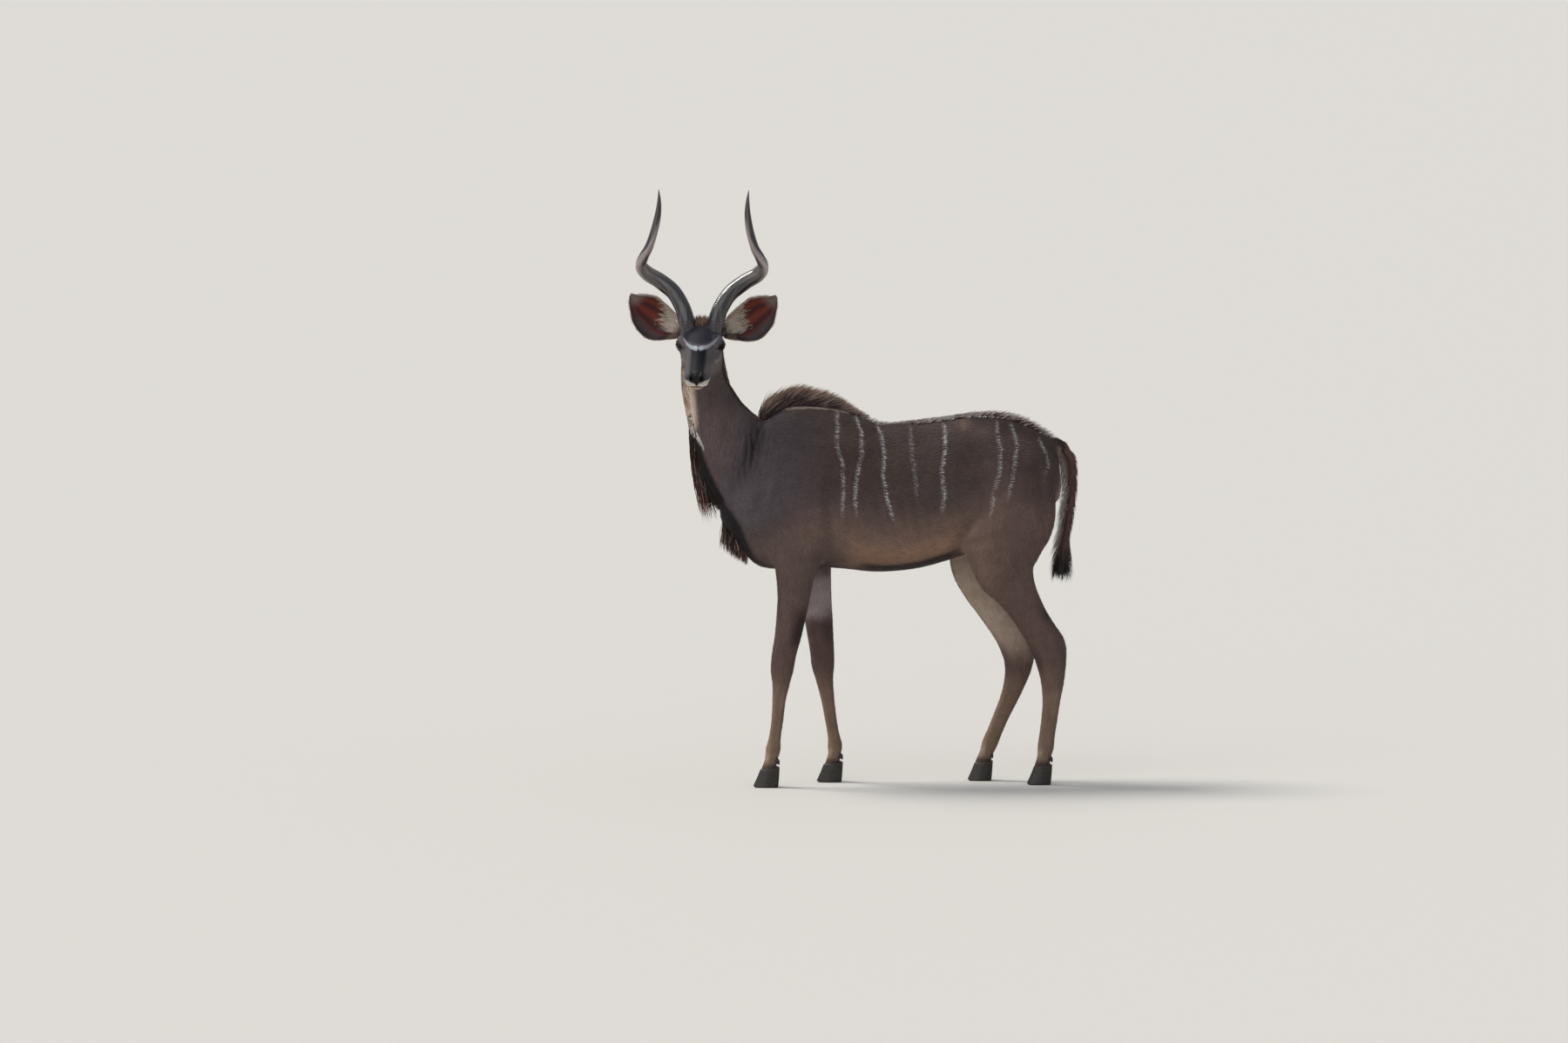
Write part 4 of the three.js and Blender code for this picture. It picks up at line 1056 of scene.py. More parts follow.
def coat_material(name, on_skin):
    """Coat colours with the stripes drawn in, for the skin or for its tufts."""
    f = Finish(name, Sheen_Weight=0.03, Sheen_Roughness=0.45, Specular_IOR_Level=0.2)
    where = f.object_place()
    tone = f.attribute("tone", "Color")
    bare, _, tint = f.parts("trait")
    mark, gap, power = f.parts("mark")
    # Distance from the middle of the nearest stripe, in millimetres, with a ragged edge.
    off = f.math("ABSOLUTE", f.math("SUBTRACT", mark, f.math("ROUND", mark)))
    ragged = f.spread(f.noise(where, 90, 3), 0.3, 0.7, -1.8, 1.8)
    off = f.math("ADD", f.math("MULTIPLY", off, gap), ragged)
    stripe = f.spread(off, 0.8, 4.2, 1.0, 0.0, "SMOOTHSTEP")
    stripe = f.math("MULTIPLY", stripe, f.spread(f.noise(where, 45, 3), 0.3, 0.6, 0.5, 1.0))
    stripe = f.math("MULTIPLY", stripe, power, clamp=True)
    broad = f.spread(f.noise(where, 22, 4), 0.25, 0.75, 0.9, 1.1)
    fine = f.spread(f.noise(where, 420, 3), 0.25, 0.75, 0.82, 1.18)
    shade = f.spread(tint, -1, 1, 0.86, 1.16)
    light = f.math("MULTIPLY", f.math("MULTIPLY", broad, fine), shade)
    f.set("Base Color", f.shaded(f.mix(stripe, tone, rgba(*TONES["stripe"])), light))
    f.set("Roughness", f.spread(bare, 0, 1, 0.66, 0.3))
    if on_skin:
        grain = f.noise(where, 650, 4, 0.6)
        folds = f.noise(where, 120, 3)
        f.bump(grain, 0.6, 0.0012, f.bump(folds, 0.35, 0.002))
    return f.material


def hair_material(name):
    f = Finish(name, Roughness=0.48, Sheen_Weight=0.03, Specular_IOR_Level=0.25)
    where = f.object_place()
    fine = f.spread(f.noise(where, 260, 3), 0.25, 0.75, 0.78, 1.22)
    shade = f.spread(f.parts("trait")[2], -1, 1, 0.72, 1.3)
    f.set("Base Color", f.shaded(f.attribute("tone", "Color"), f.math("MULTIPLY", fine, shade)))
    return f.material


def horn_material():
    """Dark glossy horn with fine streaks along it, paler on its keel and at its bend, partly from wear and
    partly as a painted highlight.
    """
    f = Finish("horn", Coat_Weight=0.6, Coat_Roughness=0.12)
    grain = f.attribute("grain")
    pale, upper, _ = f.parts("wear_and_highlight")
    streaks = f.noise(grain, 3.2, 6, 0.65)
    cloud = f.noise(grain, 0.9, 3)
    colour = f.ramp(streaks, (0.3, rgba(13, 11, 15)), (0.78, rgba(43, 36, 39)))
    # Pale on the keel and at the bend: partly wear, partly painted highlight.
    wear_and_highlight = f.math("ADD", pale, f.spread(cloud, 0.3, 0.7, -0.3, 0.2))
    wear_and_highlight = f.math("MULTIPLY", wear_and_highlight, f.spread(streaks, 0.3, 0.65, 0.45, 1.1), clamp=True)
    dark = f.math("MULTIPLY", upper, f.spread(cloud, 0.2, 0.6, 0.5, 0.95))
    colour = f.mix(wear_and_highlight, f.mix(dark, colour, rgba(40, 27, 31)), rgba(164, 150, 147))
    f.set("Base Color", colour)
    f.set("Roughness", f.spread(streaks, 0.2, 0.8, 0.16, 0.34))
    f.bump(streaks, 0.45, 0.0012)
    return f.material


def hoof_material():
    f = Finish("hoof")
    where = f.object_place()
    bands = f.noise(f.node("Mapping", {"Scale": (1.0, 1.0, 4.0), "Vector": where}), 70, 4)
    f.set("Base Color", f.ramp(bands, (0.32, rgba(17, 15, 15)), (0.8, rgba(54, 46, 41))))
    f.set("Roughness", f.spread(f.noise(where, 900, 2), 0.3, 0.7, 0.34, 0.6))
    f.bump(bands, 0.4, 0.0015)
    return f.material


def eye_material():
    """A dark brown iris with a long level pupil, under a wet clear coat."""
    f = Finish("eye", Roughness=0.3, Specular_IOR_Level=0.0, Coat_Weight=0.45, Coat_IOR=1.36,
               Coat_Roughness=0.03)
    look = f.attribute("look")
    across, tall, _ = f.node("SeparateXYZ", {0: look}).node.outputs
    squares = [f.math("POWER", f.math("DIVIDE", v, half), 2.0) for v, half in ((across, 0.46), (tall, 0.2))]
    pupil = f.spread(f.math("SQRT", f.math("ADD", *squares)), 0.85, 1.1, 1.0, 0.0, "SMOOTHSTEP")
    level = f.node("CombineXYZ", {0: across, 1: tall})
    radius = f.node("VectorMath", {0: level}, "Value", operation="LENGTH")
    fibres = f.spread(f.noise(look, 9, 5, 0.7), 0.3, 0.7)
    iris = f.mix(fibres, rgba(17, 10, 7), rgba(50, 28, 16))
    iris = f.mix(f.spread(radius, 0.62, 0.76, way="SMOOTHSTEP"), iris, rgba(12, 9, 9))
    f.set("Base Color", f.mix(pupil, iris, rgba(4, 4, 6)))
    return f.material


COAT = coat_material("coat", True)
TUFTS = coat_material("coat_tufts", False)
HAIR = hair_material("long_hair")
HORN_FINISH, HOOF_FINISH, EYE_FINISH = horn_material(), hoof_material(), eye_material()


# Ears: a thin cup for each, its rim in one plane and its root sunk in the head.
def ear_surface(side, rings=60, spokes=41):
    t = np.linspace(0.3, len(EAR) - 1.1, rings)
    r = between(EAR, t)
    centre = in_level(side, r[:, 0], r[:, 1], r[:, 2])
    way = unit(centre[-1] - centre[0])
    face = LEVEL_TURN @ np.array([0, -1.0, 0])
    wide = unit(np.cross(way, face))
    wide = wide if wide[2] > 0 else -wide
    depth = unit(np.cross(way, wide))
    depth = -depth if depth @ face > 0 else depth
    u = np.linspace(-1, 1, spokes)[None, :]
    root = fall(0.4, 1.8, t)[:, None]
    near_tip = smooth(len(EAR) - 3.0, len(EAR) - 1.2, t)[:, None]
    layers = []
    for wall in (1.5, 4.0):
        inner = wall > 2
        angle = u * (math.pi / 2 + math.radians(26) * root)
        half = np.maximum(r[:, 4] - wall * 0.6, 1.2)[:, None]
        cup = np.maximum(r[:, 3] - wall, 0.8)[:, None]
        # The rims roll a little inward, and ribs run up the lining.
        roll = 1 - 0.04 * smooth(0.88, 1.0, np.abs(u)) * inner
        back = np.cos(angle) * cup - 3.5 * smooth(0.75, 1, np.abs(u)) * (1 - near_tip)
        ribs = 1.3 * np.sin(u * 15 + 0.8 * t[:, None]) * (1 - u * u) * inner * (1 - near_tip)
        layers.append(centre[:, None] + depth * (back - ribs)[..., None]
                      + wide * (np.sin(angle) * half * roll)[..., None])
    count = rings * spokes
    verts = np.concatenate([layer.reshape(-1, 3) for layer in layers])
    sheet = grid_faces(rings, spokes, closed=False)
    low = np.arange(rings - 1) * spokes
    high = low + spokes - 1
    ends = np.arange(spokes - 1) + (rings - 1) * spokes
    rim = np.concatenate([
        np.stack([low, low + spokes, low + spokes + count, low + count], 1),
        np.stack([high, high + count, high + spokes + count, high + spokes], 1),
        np.stack([ends, ends + 1, ends + 1 + count, ends + count], 1),
    ])
    faces = np.concatenate([sheet, sheet[:, ::-1] + count, rim])
    flow = np.tile(np.repeat(unit(np.gradient(centre, axis=0)), spokes, 0), (2, 1))
    u = np.tile(u[0], 2 * rings)
    v = np.tile(np.repeat(t / (len(EAR) - 1), spokes), 2)
    return verts, faces, flow, u, v, np.repeat([0.0, 1.0], count)


def paint_ear(u, v, lining):
    """Grey-brown outside; inside dark red, paler to the rims, slate low down, and dark at the root with
    painted shade deep in the cup.
    u runs from the lower edge, -1, to the upper one, 1; v from the root to the tip."""
    tone, over = painter("earback", len(u))
    over(smooth(0.8, 0.95, np.abs(u)), "pale", 0.3)
    over(smooth(0.84, 0.97, v), "dark", 0.5)
    inside, over_lining = painter("pink", len(u))
    ribs = 0.5 + 0.5 * np.sin(u * 13 + 2.5 * v)
    over_lining(ribs, "flesh", 0.55)
    over_lining(smooth(0.55, 0.85, np.abs(u)), "ear", 0.85)
    over_lining(smooth(0.7, 0.9, v + 0.08 * u), "ear", 0.9)
    over_lining(smooth(-0.2, -0.55, u) * smooth(0.1, 0.25, v) * smooth(0.9, 0.6, v), "slate", 0.95)
    over_lining(smooth(-0.9, -0.98, u), "dark", 0.9)
    # Painted shade deep in the cup, at the ear's root.
    over_lining(fall(0.14, 0.3, v), "dark", 0.85)
    over_lining(bell(v, 0.2 + 0.05 * u, 0.1) * smooth(-0.3, 0.1, u), "white", 0.9)
    over_lining(smooth(0.84, 0.95, u) * smooth(0.7, 0.5, v), "pale", 0.8)
    return tone + (inside - tone) * lining[:, None]


skin = build_skin()
skin_points = get_points(skin.data)
skin_normals = get_verts(skin.data, "normal")
skin_tone, skin_marks, skin_bare = paint(skin_points, skin_normals)
lie = Lie(skin)
set_coat(skin.data, skin_tone, skin_marks, skin_bare)
dress(skin, "coat", COAT, "torso", "neck", "head", "tail", "foreleg_left", "foreleg_right",
      "hindleg_left", "hindleg_right")


def sample(obj_mesh, density):
    """Roots spread over a mesh: three corner vertices and their weights for each root."""
    obj_mesh.calc_loop_triangles()
    tris = np.zeros(len(obj_mesh.loop_triangles) * 3, np.int32)
    obj_mesh.loop_triangles.foreach_get("vertices", tris)
    tris = tris.reshape(-1, 3)
    p = get_points(obj_mesh)
    a, b, c = p[tris.T]
    area = np.linalg.norm(np.cross(b - a, c - a), axis=1) / 2
    wanted = area * density[tris].mean(1)
    count = int(wanted.sum())
    total = np.cumsum(wanted)
    pick = np.searchsorted(total, (np.arange(count) + rng.uniform(0, 1, count)) * total[-1] / count)
    pick = np.minimum(pick, len(tris) - 1)
    a, b = rng.uniform(0, 1, (2, count))
    over = a + b > 1
    a[over], b[over] = 1 - a[over], 1 - b[over]
    return tris[pick], np.stack([1 - a - b, a, b], 1)


def carried(values, corners, weights):
    return np.einsum("ij,ijk->ik", weights, values[corners])


def short_coat():
    p, n = skin_points, skin_normals
    head = head_part(p)
    out, ahead, up = face_coords(p)
    low = fall(250, 600, p[:, 2])
    muzzle = head * smooth(100, 190, ahead)
    density = 1 / 12.5 + head * (1 / 5.0 - 1 / 12.5) + muzzle * 0.12 + low * (1 / 8.0 - 1 / 12.5)
    density = density * fall(0.2, 0.6, skin_bare)
    across, tall, gaze = eye_coords(out, ahead, up)
    density[(gaze > 0) & (almond(across, tall) < 1.25)] = 0
    density[p[:, 2] < 61] = 0
    density *= 1.0
    corners, weights = sample(skin.data, density)
    root = carried(p, corners, weights)
    normal = unit(carried(n, corners, weights))
    flow = unit(carried(lie.lie, corners, weights))
    head = carried(head[:, None], corners, weights)[:, 0]
    _, ahead, _ = face_coords(root)
    low = fall(150, 500, root[:, 2])
    length = 17 - 9.5 * head - 3.5 * head * smooth(100, 190, ahead) - 7 * low
    count = len(root)
    length = length * rng.uniform(0.75, 1.2, count)
    width = 0.5 + length * 0.105
    sideways = np.cross(normal, flow)
    flow = unit(flow + sideways * rng.normal(0, 0.16, count)[:, None])
    lean = flow + normal * rng.uniform(0.1, 0.3, count)[:, None]
    pull = flow - 0.05 * normal
    tone, marks, _ = paint(root, normal)
    tint = tone * rng.normal(1.0, 0.07, (count, 1))
    marks = marks.copy()
    jitter = rng.normal(0, 0.6, count) / np.maximum(marks[:, 1], 8)
    marks[:, 0] += np.where(np.abs(marks[:, 0] - np.round(marks[:, 0])) < 0.4, jitter, 0)
    uv = lie.uv[corners[:, 0]] + rng.uniform(-0.002, 0.002, (count, 2))
    group = np.select([head > 0.5, root[:, 2] < 640, root[:, 0] < -250, root[:, 1] < 0], [0, 1, 2, 3], 4)
    names = ["coat_head", "coat_legs", "coat_neck", "coat_left", "coat_right"]
    for k, name in enumerate(names):
        here = np.flatnonzero(group == k)
        for part, chosen in enumerate(np.array_split(here, max(1, math.ceil(len(here) / 64000)))):
            shape = (a[chosen] for a in (root, lean, pull, normal, length, width))
            colours = (tint[chosen] * 0.94, tint[chosen] * 1.08)
            obj = ribbons(f"{name}_{part + 1}", *shape, 2, 0.55, uv[chosen], colours, sink=0.8,
                          marks=marks[chosen])
            dress(obj, "coat", TUFTS)


short_coat()


def way_down(rows, t):
    """The way along a part's middle line at the places t."""
    return unit(between(rows, t + 0.05)[:, :3] - between(rows, t - 0.05)[:, :3])


def toned(name_a, name_b, amount):
    """Colours between two named tones, one row for each amount."""
    amount = np.asarray(amount)[:, None]
    return LINEAR[name_a] * (1 - amount) + LINEAR[name_b] * amount


def drawn(name_a, name_b, count, high=1.0):
    """Colours drawn between two named tones."""
    return toned(name_a, name_b, rng.uniform(0, high, count))


def crosswise(y):
    """Steps across the body."""
    return np.stack([0 * y, y, 0 * y], 1)


def flats(spread, count):
    """The ways that flat locks face, spread round the middle plane's."""
    return np.stack([rng.normal(0, spread, count), np.ones(count), np.zeros(count)], 1)


def hair(name, root, lean, pull, flat, length, width, segments, bend, colours, sink, curl=0.0, uv=None):
    uv = lie.uv[lie.nearest(root)] if uv is None else uv
    obj = ribbons(name, root, lean, pull, flat, length, width, segments, bend, uv, colours, sink, curl=curl)
    dress(obj, "coat", HAIR)


SPARSE = 1.0


def back_hair():
    """The mane over the withers and the pale crest behind it, leaning back."""
    for name, start, end, count in (("mane", -343, 30, 2600), ("back_crest", 10, 786, 3400)):
        count = int(count * SPARSE)
        x = rng.uniform(start, end, count)
        r = between(TRUNK, where_x(TRUNK, x))
        y = rng.normal(0, 5.5 if name == "mane" else 7, count)
        edge = 1 - 0.35 * smooth(5, 16, np.abs(y))
        long = r[:, 5] * rng.uniform(0.72, 1.12, count) * edge
        behind = 0.42 + 0.58 * np.clip((long - 40) / 60, 0, 1)
        upright = behind + 0.9 * np.maximum(1 - (x + 336) / 150, 0) + rng.normal(0, 0.17, count)
        root = np.stack([x, y, r[:, 1] - COAT_DEPTH - 1 - y * y * 0.03], 1)
        lean = np.stack([np.cos(upright), 0.016 * y + rng.normal(0, 0.05, count), np.sin(upright)], 1)
        pull = np.stack([np.ones(count), 0.008 * y, np.full(count, 0.22)], 1)
        flat = flats(0.5, count)
        bright = np.clip(rng.normal(0.75, 0.25, count), 0.05, 1)
        if name == "mane":
            outermost = smooth(0.84, 1.0, long / np.maximum(r[:, 5], 1))
            tips = toned("mane", "tip", bright * np.where(rng.uniform(0, 1, count) < 0.2, 0.7, outermost))
            roots = drawn("mane", "rust", count, 0.35)
        else:
            # Short dark hair stands under the long pale hair.
            short = rng.uniform(0, 1, count) < 0.55
            long = long * np.where(short, 0.62, 1.0)
            tips = np.where(short[:, None], toned("dark", "rust", bright),
                            toned("dark", "crest", 0.5 + 0.5 * bright))
            roots = drawn("black", "rust", count, 0.6)
        hair(name, root, lean, unit(pull), flat, long, rng.uniform(2.2, 4.2, count), 6, 0.24,
             (roots, tips), sink=9, curl=0.05)


def on_neck(t, toward_nape=False):
    """Points on the neck's middle line, nape or throat, and the ways down along it and out of it."""
    down = way_down(NECK, t)
    nape = unit(np.cross(down, (0, 1, 0)))
    r = between(NECK, t)
    reach = r[:, 3] if toward_nape else -r[:, 4]
    out = nape * np.sign(reach)[:, None]
    return r[:, :3] + nape * reach[:, None], down, out


def nape_hair():
    count = int(1500 * SPARSE)
    t = rng.uniform(0.9, 5.6, count)
    at, down, out = on_neck(t, toward_nape=True)
    y = rng.normal(0, 6, count)
    root = at + crosswise(y) - out * (COAT_DEPTH + 1)
    lean = down + out * rng.uniform(0.4, 1.1, count)[:, None]
    flat = flats(0.5, count)
    roots = drawn("mane", "rust", count, 0.8)
    tips = toned("rust", "tip", np.clip(rng.normal(0.3, 0.25, count), 0, 1))
    hair("nape_hair", root, lean, down, flat, rng.uniform(16, 32, count), rng.uniform(1.8, 3.2, count),
         4, 0.3, (roots, tips), sink=2, curl=0.05)


def beard():
    """The fringe under the throat, longest in its upper half."""
    count = int(3000 * SPARSE)
    f = rng.uniform(0, 1, count)
    at, down, out = on_neck(4.2 + 2.8 * f)
    y = rng.normal(0, 9, count)
    root = at + crosswise(y) - out * (COAT_DEPTH + 1 + y * y * 0.01)[:, None]
    long = (46 + 205 * bell(f, 0.33, 0.24)) * rng.uniform(0.25, 1.08, count)
    long *= np.where(rng.uniform(0, 1, count) < 0.45, 0.55, 1.0)
    spread = rng.uniform(0.05, 0.5, count)
    lean = down + out * spread[:, None] + crosswise(y * 0.012)
    pull = np.stack([rng.uniform(0.12, 0.36, count), y * 0.004, -np.ones(count)], 1)
    flat = flats(0.7, count)
    # Its front strands are rusty, some of them pale; the rest is black.
    front = smooth(0.26, 0.42, spread + rng.normal(0, 0.06, count))
    pale = rng.uniform(0, 1, count) < 0.22 * front
    roots = np.where(pale[:, None], drawn("rust", "tan", count), drawn("black", "mane", count))
    tips = np.where(pale[:, None], drawn("tan", "tip", count),
                    toned("black", "rust", front * rng.uniform(0.5, 1.1, count)))
    hair("throat_fringe", root, lean, unit(pull), flat, long, rng.uniform(2.0, 4.0, count), 7, 0.22,
         (roots, tips), sink=3, curl=0.12)


def throat_strands():
    """Tan strands under the chin, down to the white bar."""
    count = int(900 * SPARSE)
    t = rng.uniform(1.0, 3.5, count)
    at, down, out = on_neck(t)
    y = rng.normal(0, 20, count)
    root = at + crosswise(y) - out * (COAT_DEPTH + 1 + y * y * 0.009)[:, None]
    lean = down + out * 0.15 + crosswise(y * 0.008)
    flat = flats(0.7, count)
    roots = drawn("neck", "tan", count)
    hair("throat_strands", root, lean, unit(down + np.array([0.0, 0.0, -0.4])), flat,
         rng.uniform(22, 52, count), rng.uniform(1.4, 2.8, count), 5, 0.24,
         (roots, drawn("tan", "throat", count)), sink=2, curl=0.08)


def throat_line():
    """Dark hair that lies along the throat's middle line, from the white bar to the breast."""
    count = int(3600 * SPARSE)
    f = rng.uniform(0, 1, count)
    t = 3.7 + 3.6 * f
    at, down, out = on_neck(t)
    angle = rng.uniform(-0.55, 0.55, count)
    r = between(NECK, t)
    y = np.sin(angle) * r[:, 5]
    root = at + crosswise(y) - out * (COAT_DEPTH + r[:, 4] * (1 - np.cos(angle)))[:, None]
    sideways = crosswise(np.sin(angle))
    lean = down + out * 0.12 + sideways * 0.1
    pull = down + np.array([0.1, 0, -0.5])
    roots = drawn("black", "mane", count)
    hair("throat_line", root, lean, unit(pull), unit(out + sideways), rng.uniform(34, 66, count),
         rng.uniform(2.4, 4.4, count), 4, 0.2, (roots, drawn("black", "rust", count, 0.4)), sink=2,
         curl=0.06)


def breast_hair():
    count = int(1100 * SPARSE)
    x = rng.uniform(-472, -388, count)
    r = between(TRUNK, where_x(TRUNK, x))
    y = rng.normal(0, 13, count)
    root = np.stack([x, y, r[:, 2] + 6 + y * y * 0.02], 1)
    f = (x + 472) / 84
    long = 112 * rng.uniform(0.5, 1.06, count) * (1 - 0.5 * f)
    lean = np.stack([rng.uniform(-0.32, 0.05, count), y * 0.01, np.full(count, -0.9)], 1)
    pull = np.stack([rng.uniform(-0.1, 0.3, count), y * 0.003, -np.ones(count)], 1)
    flat = flats(0.7, count)
    pale = rng.uniform(0, 1, count) < 0.2
    roots = drawn("black", "mane", count)
    tips = np.where(pale[:, None], drawn("tan", "tip", count), drawn("black", "rust", count, 0.8))
    hair("breast_tuft", root, lean, unit(pull), flat, long, rng.uniform(2.0, 3.8, count), 6, 0.24,
         (roots, tips), sink=3, curl=0.1)


def tail_hair():
    count = int(3400 * SPARSE)
    t = rng.uniform(1.2, 7.6, count)
    angle = rng.uniform(0, 2 * math.pi, count)
    r = between(TAIL, t)
    down = way_down(TAIL, t)
    out = np.stack([np.cos(angle), np.sin(angle), 0 * angle], 1)
    root = r[:, :3] + out * np.stack([r[:, 3], r[:, 4], r[:, 3]], 1) * 0.75
    end = smooth(5.4, 6.6, t)
    under = smooth(0.2, 0.6, -out[:, 0]) * (1 - end)
    long = (36 + 68 * end + 44 * under) * rng.uniform(0.7, 1.15, count)
    long = np.minimum(long, (root[:, 2] - 722) * rng.uniform(0.3, 1.0, count))
    lean = down + out * (0.55 + 0.45 * end + 0.6 * under)[:, None]
    pull = down * (1 - end)[:, None] + np.array([-0.03, 0, -1.0]) * end[:, None] + 0.05 * out
    pull -= 0.28 * out * end[:, None]
    base = drawn("tail", "dark", count, 0.5)
    white = smooth(0.5, 0.9, -out[:, :1]) * (1 - end)[:, None]
    base = base * (1 - white) + LINEAR["white"] * white
    black = drawn("black", "mane", count)
    base = base * (1 - end)[:, None] + black * end[:, None]
    hair("tail_hair", root, lean, unit(pull), out, long, rng.uniform(2.0, 3.8, count), 5, 0.25,
         (base * 0.85, base * 1.1), sink=2, curl=0.06)


def head_hair():
    """The tuft between the horns, and pale hair under the chin."""
    count = int(800 * SPARSE)
    out = rng.normal(0, 17, count)
    ahead = rng.uniform(-100, -42, count)
    crown = np.interp(ahead, [-122, -95, -55, -15], [30, 42, 46, 40])
    root = in_face(1, out, ahead, crown - 0.007 * out ** 2)
    lean = np.stack([rng.normal(-0.15, 0.35, count), rng.normal(0, 0.35, count), np.ones(count)], 1)
    hair("poll_tuft", root, lean, unit(np.stack([0 * out, 0 * out + 0.7, 0 * out + 0.6], 1)),
         np.tile([0, 1.0, 0], (count, 1)) + rng.normal(0, 0.6, (count, 3)), rng.uniform(16, 36, count),
         rng.uniform(1.4, 2.6, count), 4, 0.3,
         (drawn("mane", "rust", count), drawn("rust", "tan", count)), sink=4, curl=0.08)
    count = int(350 * SPARSE)
    out = rng.normal(0, 14, count)
    ahead = rng.uniform(150, 205, count)
    low = np.interp(ahead, [65, 105, 145, 180, 205], [-86, -78, -70, -72, -75])
    root = in_face(1, out, ahead, low + 4 + 0.015 * out ** 2)
    down = FACE_TURN @ np.array([0, 0.9, -0.45])
    lean = np.tile(down, (count, 1)) + rng.normal(0, 0.12, (count, 3))
    hair("chin_hair", root, lean, np.tile(unit(down + [0, 0, -0.6]), (count, 1)),
         np.tile([1.0, 0, 0], (count, 1)) + rng.normal(0, 0.6, (count, 3)), rng.uniform(4, 8, count),
         rng.uniform(0.5, 1.0, count), 3, 0.3,
         (drawn("tan", "pale", count), drawn("pale", "white", count)), sink=3)


for grow in (back_hair, nape_hair, beard, throat_strands, throat_line, breast_hair, tail_hair, head_hair):
    grow()


def ear_pieces():
    for name, side in (("ear_left", 1), ("ear_right", -1)):
        verts, faces, flow, u, v, lining = ear_surface(side)
        obj = mesh_object(name + "_skin", place(verts), faces)
        face_outward(obj.data)
        n = get_verts(obj.data, "normal")
        tone = paint_ear(u, v, lining)
        set_coat(obj.data, tone, NO_STRIPE, 0.35 * lining * fall(0.5, 0.9, np.abs(u)))
        dress(obj, "coat", COAT, name)
        left, low, wide, tall = ATLAS[name]
        ear_uv = np.stack([left + wide * (0.5 + 0.24 * u), low + tall * (0.5 * v + 0.5 * lining)], 1)
        density = np.where(lining > 0.5, 0.08 + 0.2 * smooth(0.4, 0.8, np.abs(u)), 0.3)
        density = density * 1
        corners, weights = sample(obj.data, density)
        root = carried(verts, corners, weights)
        normal = unit(carried(n, corners, weights))
        lay = carried(flow, corners, weights)
        lay = unit(lay - (lay * normal).sum(1, keepdims=True) * normal)
        count = len(root)
        tint = carried(tone, corners, weights) * rng.normal(1, 0.08, (count, 1))
        length = rng.uniform(4, 7, count)
        lean = lay + normal * rng.uniform(0.1, 0.3, count)[:, None]
        coat = ribbons(name + "_coat", root, lean, lay, normal, length, 0.35 + length * 0.09, 2, 0.5,
                       ear_uv[corners[:, 0]], (tint * 0.95, tint * 1.06), sink=0.6,
                       marks=np.tile(NO_STRIPE, (count, 1)))
        dress(coat, "coat", TUFTS)
        ear_long_hair(name, side, verts, n, flow, u, v, lining, ear_uv)


def ear_long_hair(name, side, verts, n, flow, u, v, lining, ear_uv):
    """White hair low in the cup, pale hair along the upper rim, dark hair along the lower one."""
    white = np.flatnonzero((lining > 0.5) & (u > -0.3) & (u < 0.97))
    chance = bell(v[white], 0.13 + 0.05 * u[white], 0.13) * smooth(-0.3, 0.1, u[white])
    sets = [
        (rng.choice(white, 4000, p=chance / chance.sum()), 3000, (8, 26), 0.45, ("white", "throat")),
        (np.flatnonzero(v < 0.12), 1500, (12, 26), 0.4, ("cheek", "tan")),
        (np.flatnonzero((u > 0.93) & (v > 0.15) & (v < 0.85)), 900, (4, 10), 0.3, ("pale", "white")),
        (np.flatnonzero((u < -0.93) & (v > 0.2) & (v < 0.95)), 700, (3, 7), 0.3, ("dark", "ear")),
    ]
    outward = LEVEL_TURN @ np.array([side * 0.9, -0.35, 0.1])
    tufts = []
    for pool, count, (short, long), rise, tones in sets:
        count = int(count * SPARSE)
        chosen = rng.choice(pool, count)
        tufts.append((
            verts[chosen] + rng.normal(0, 1.6, (count, 3)),
            flow[chosen] * 0.8 + n[chosen] * rise + outward * 0.3 + rng.normal(0, 0.14, (count, 3)),
            n[chosen] + rng.normal(0, 0.3, (count, 3)),
            rng.uniform(short, long, count), drawn(*tones, count), ear_uv[chosen],
        ))
    roots, leans, normals, lengths, colours, uvs = (np.concatenate(a) for a in zip(*tufts))
    hair(name + "_hair", roots, leans, unit(leans + outward * 0.4), unit(normals), lengths,
         rng.uniform(0.7, 1.6, len(roots)), 4, 0.25, (colours * 0.9, colours * 1.08), 1.2, 0.06, uvs)


ear_pieces()


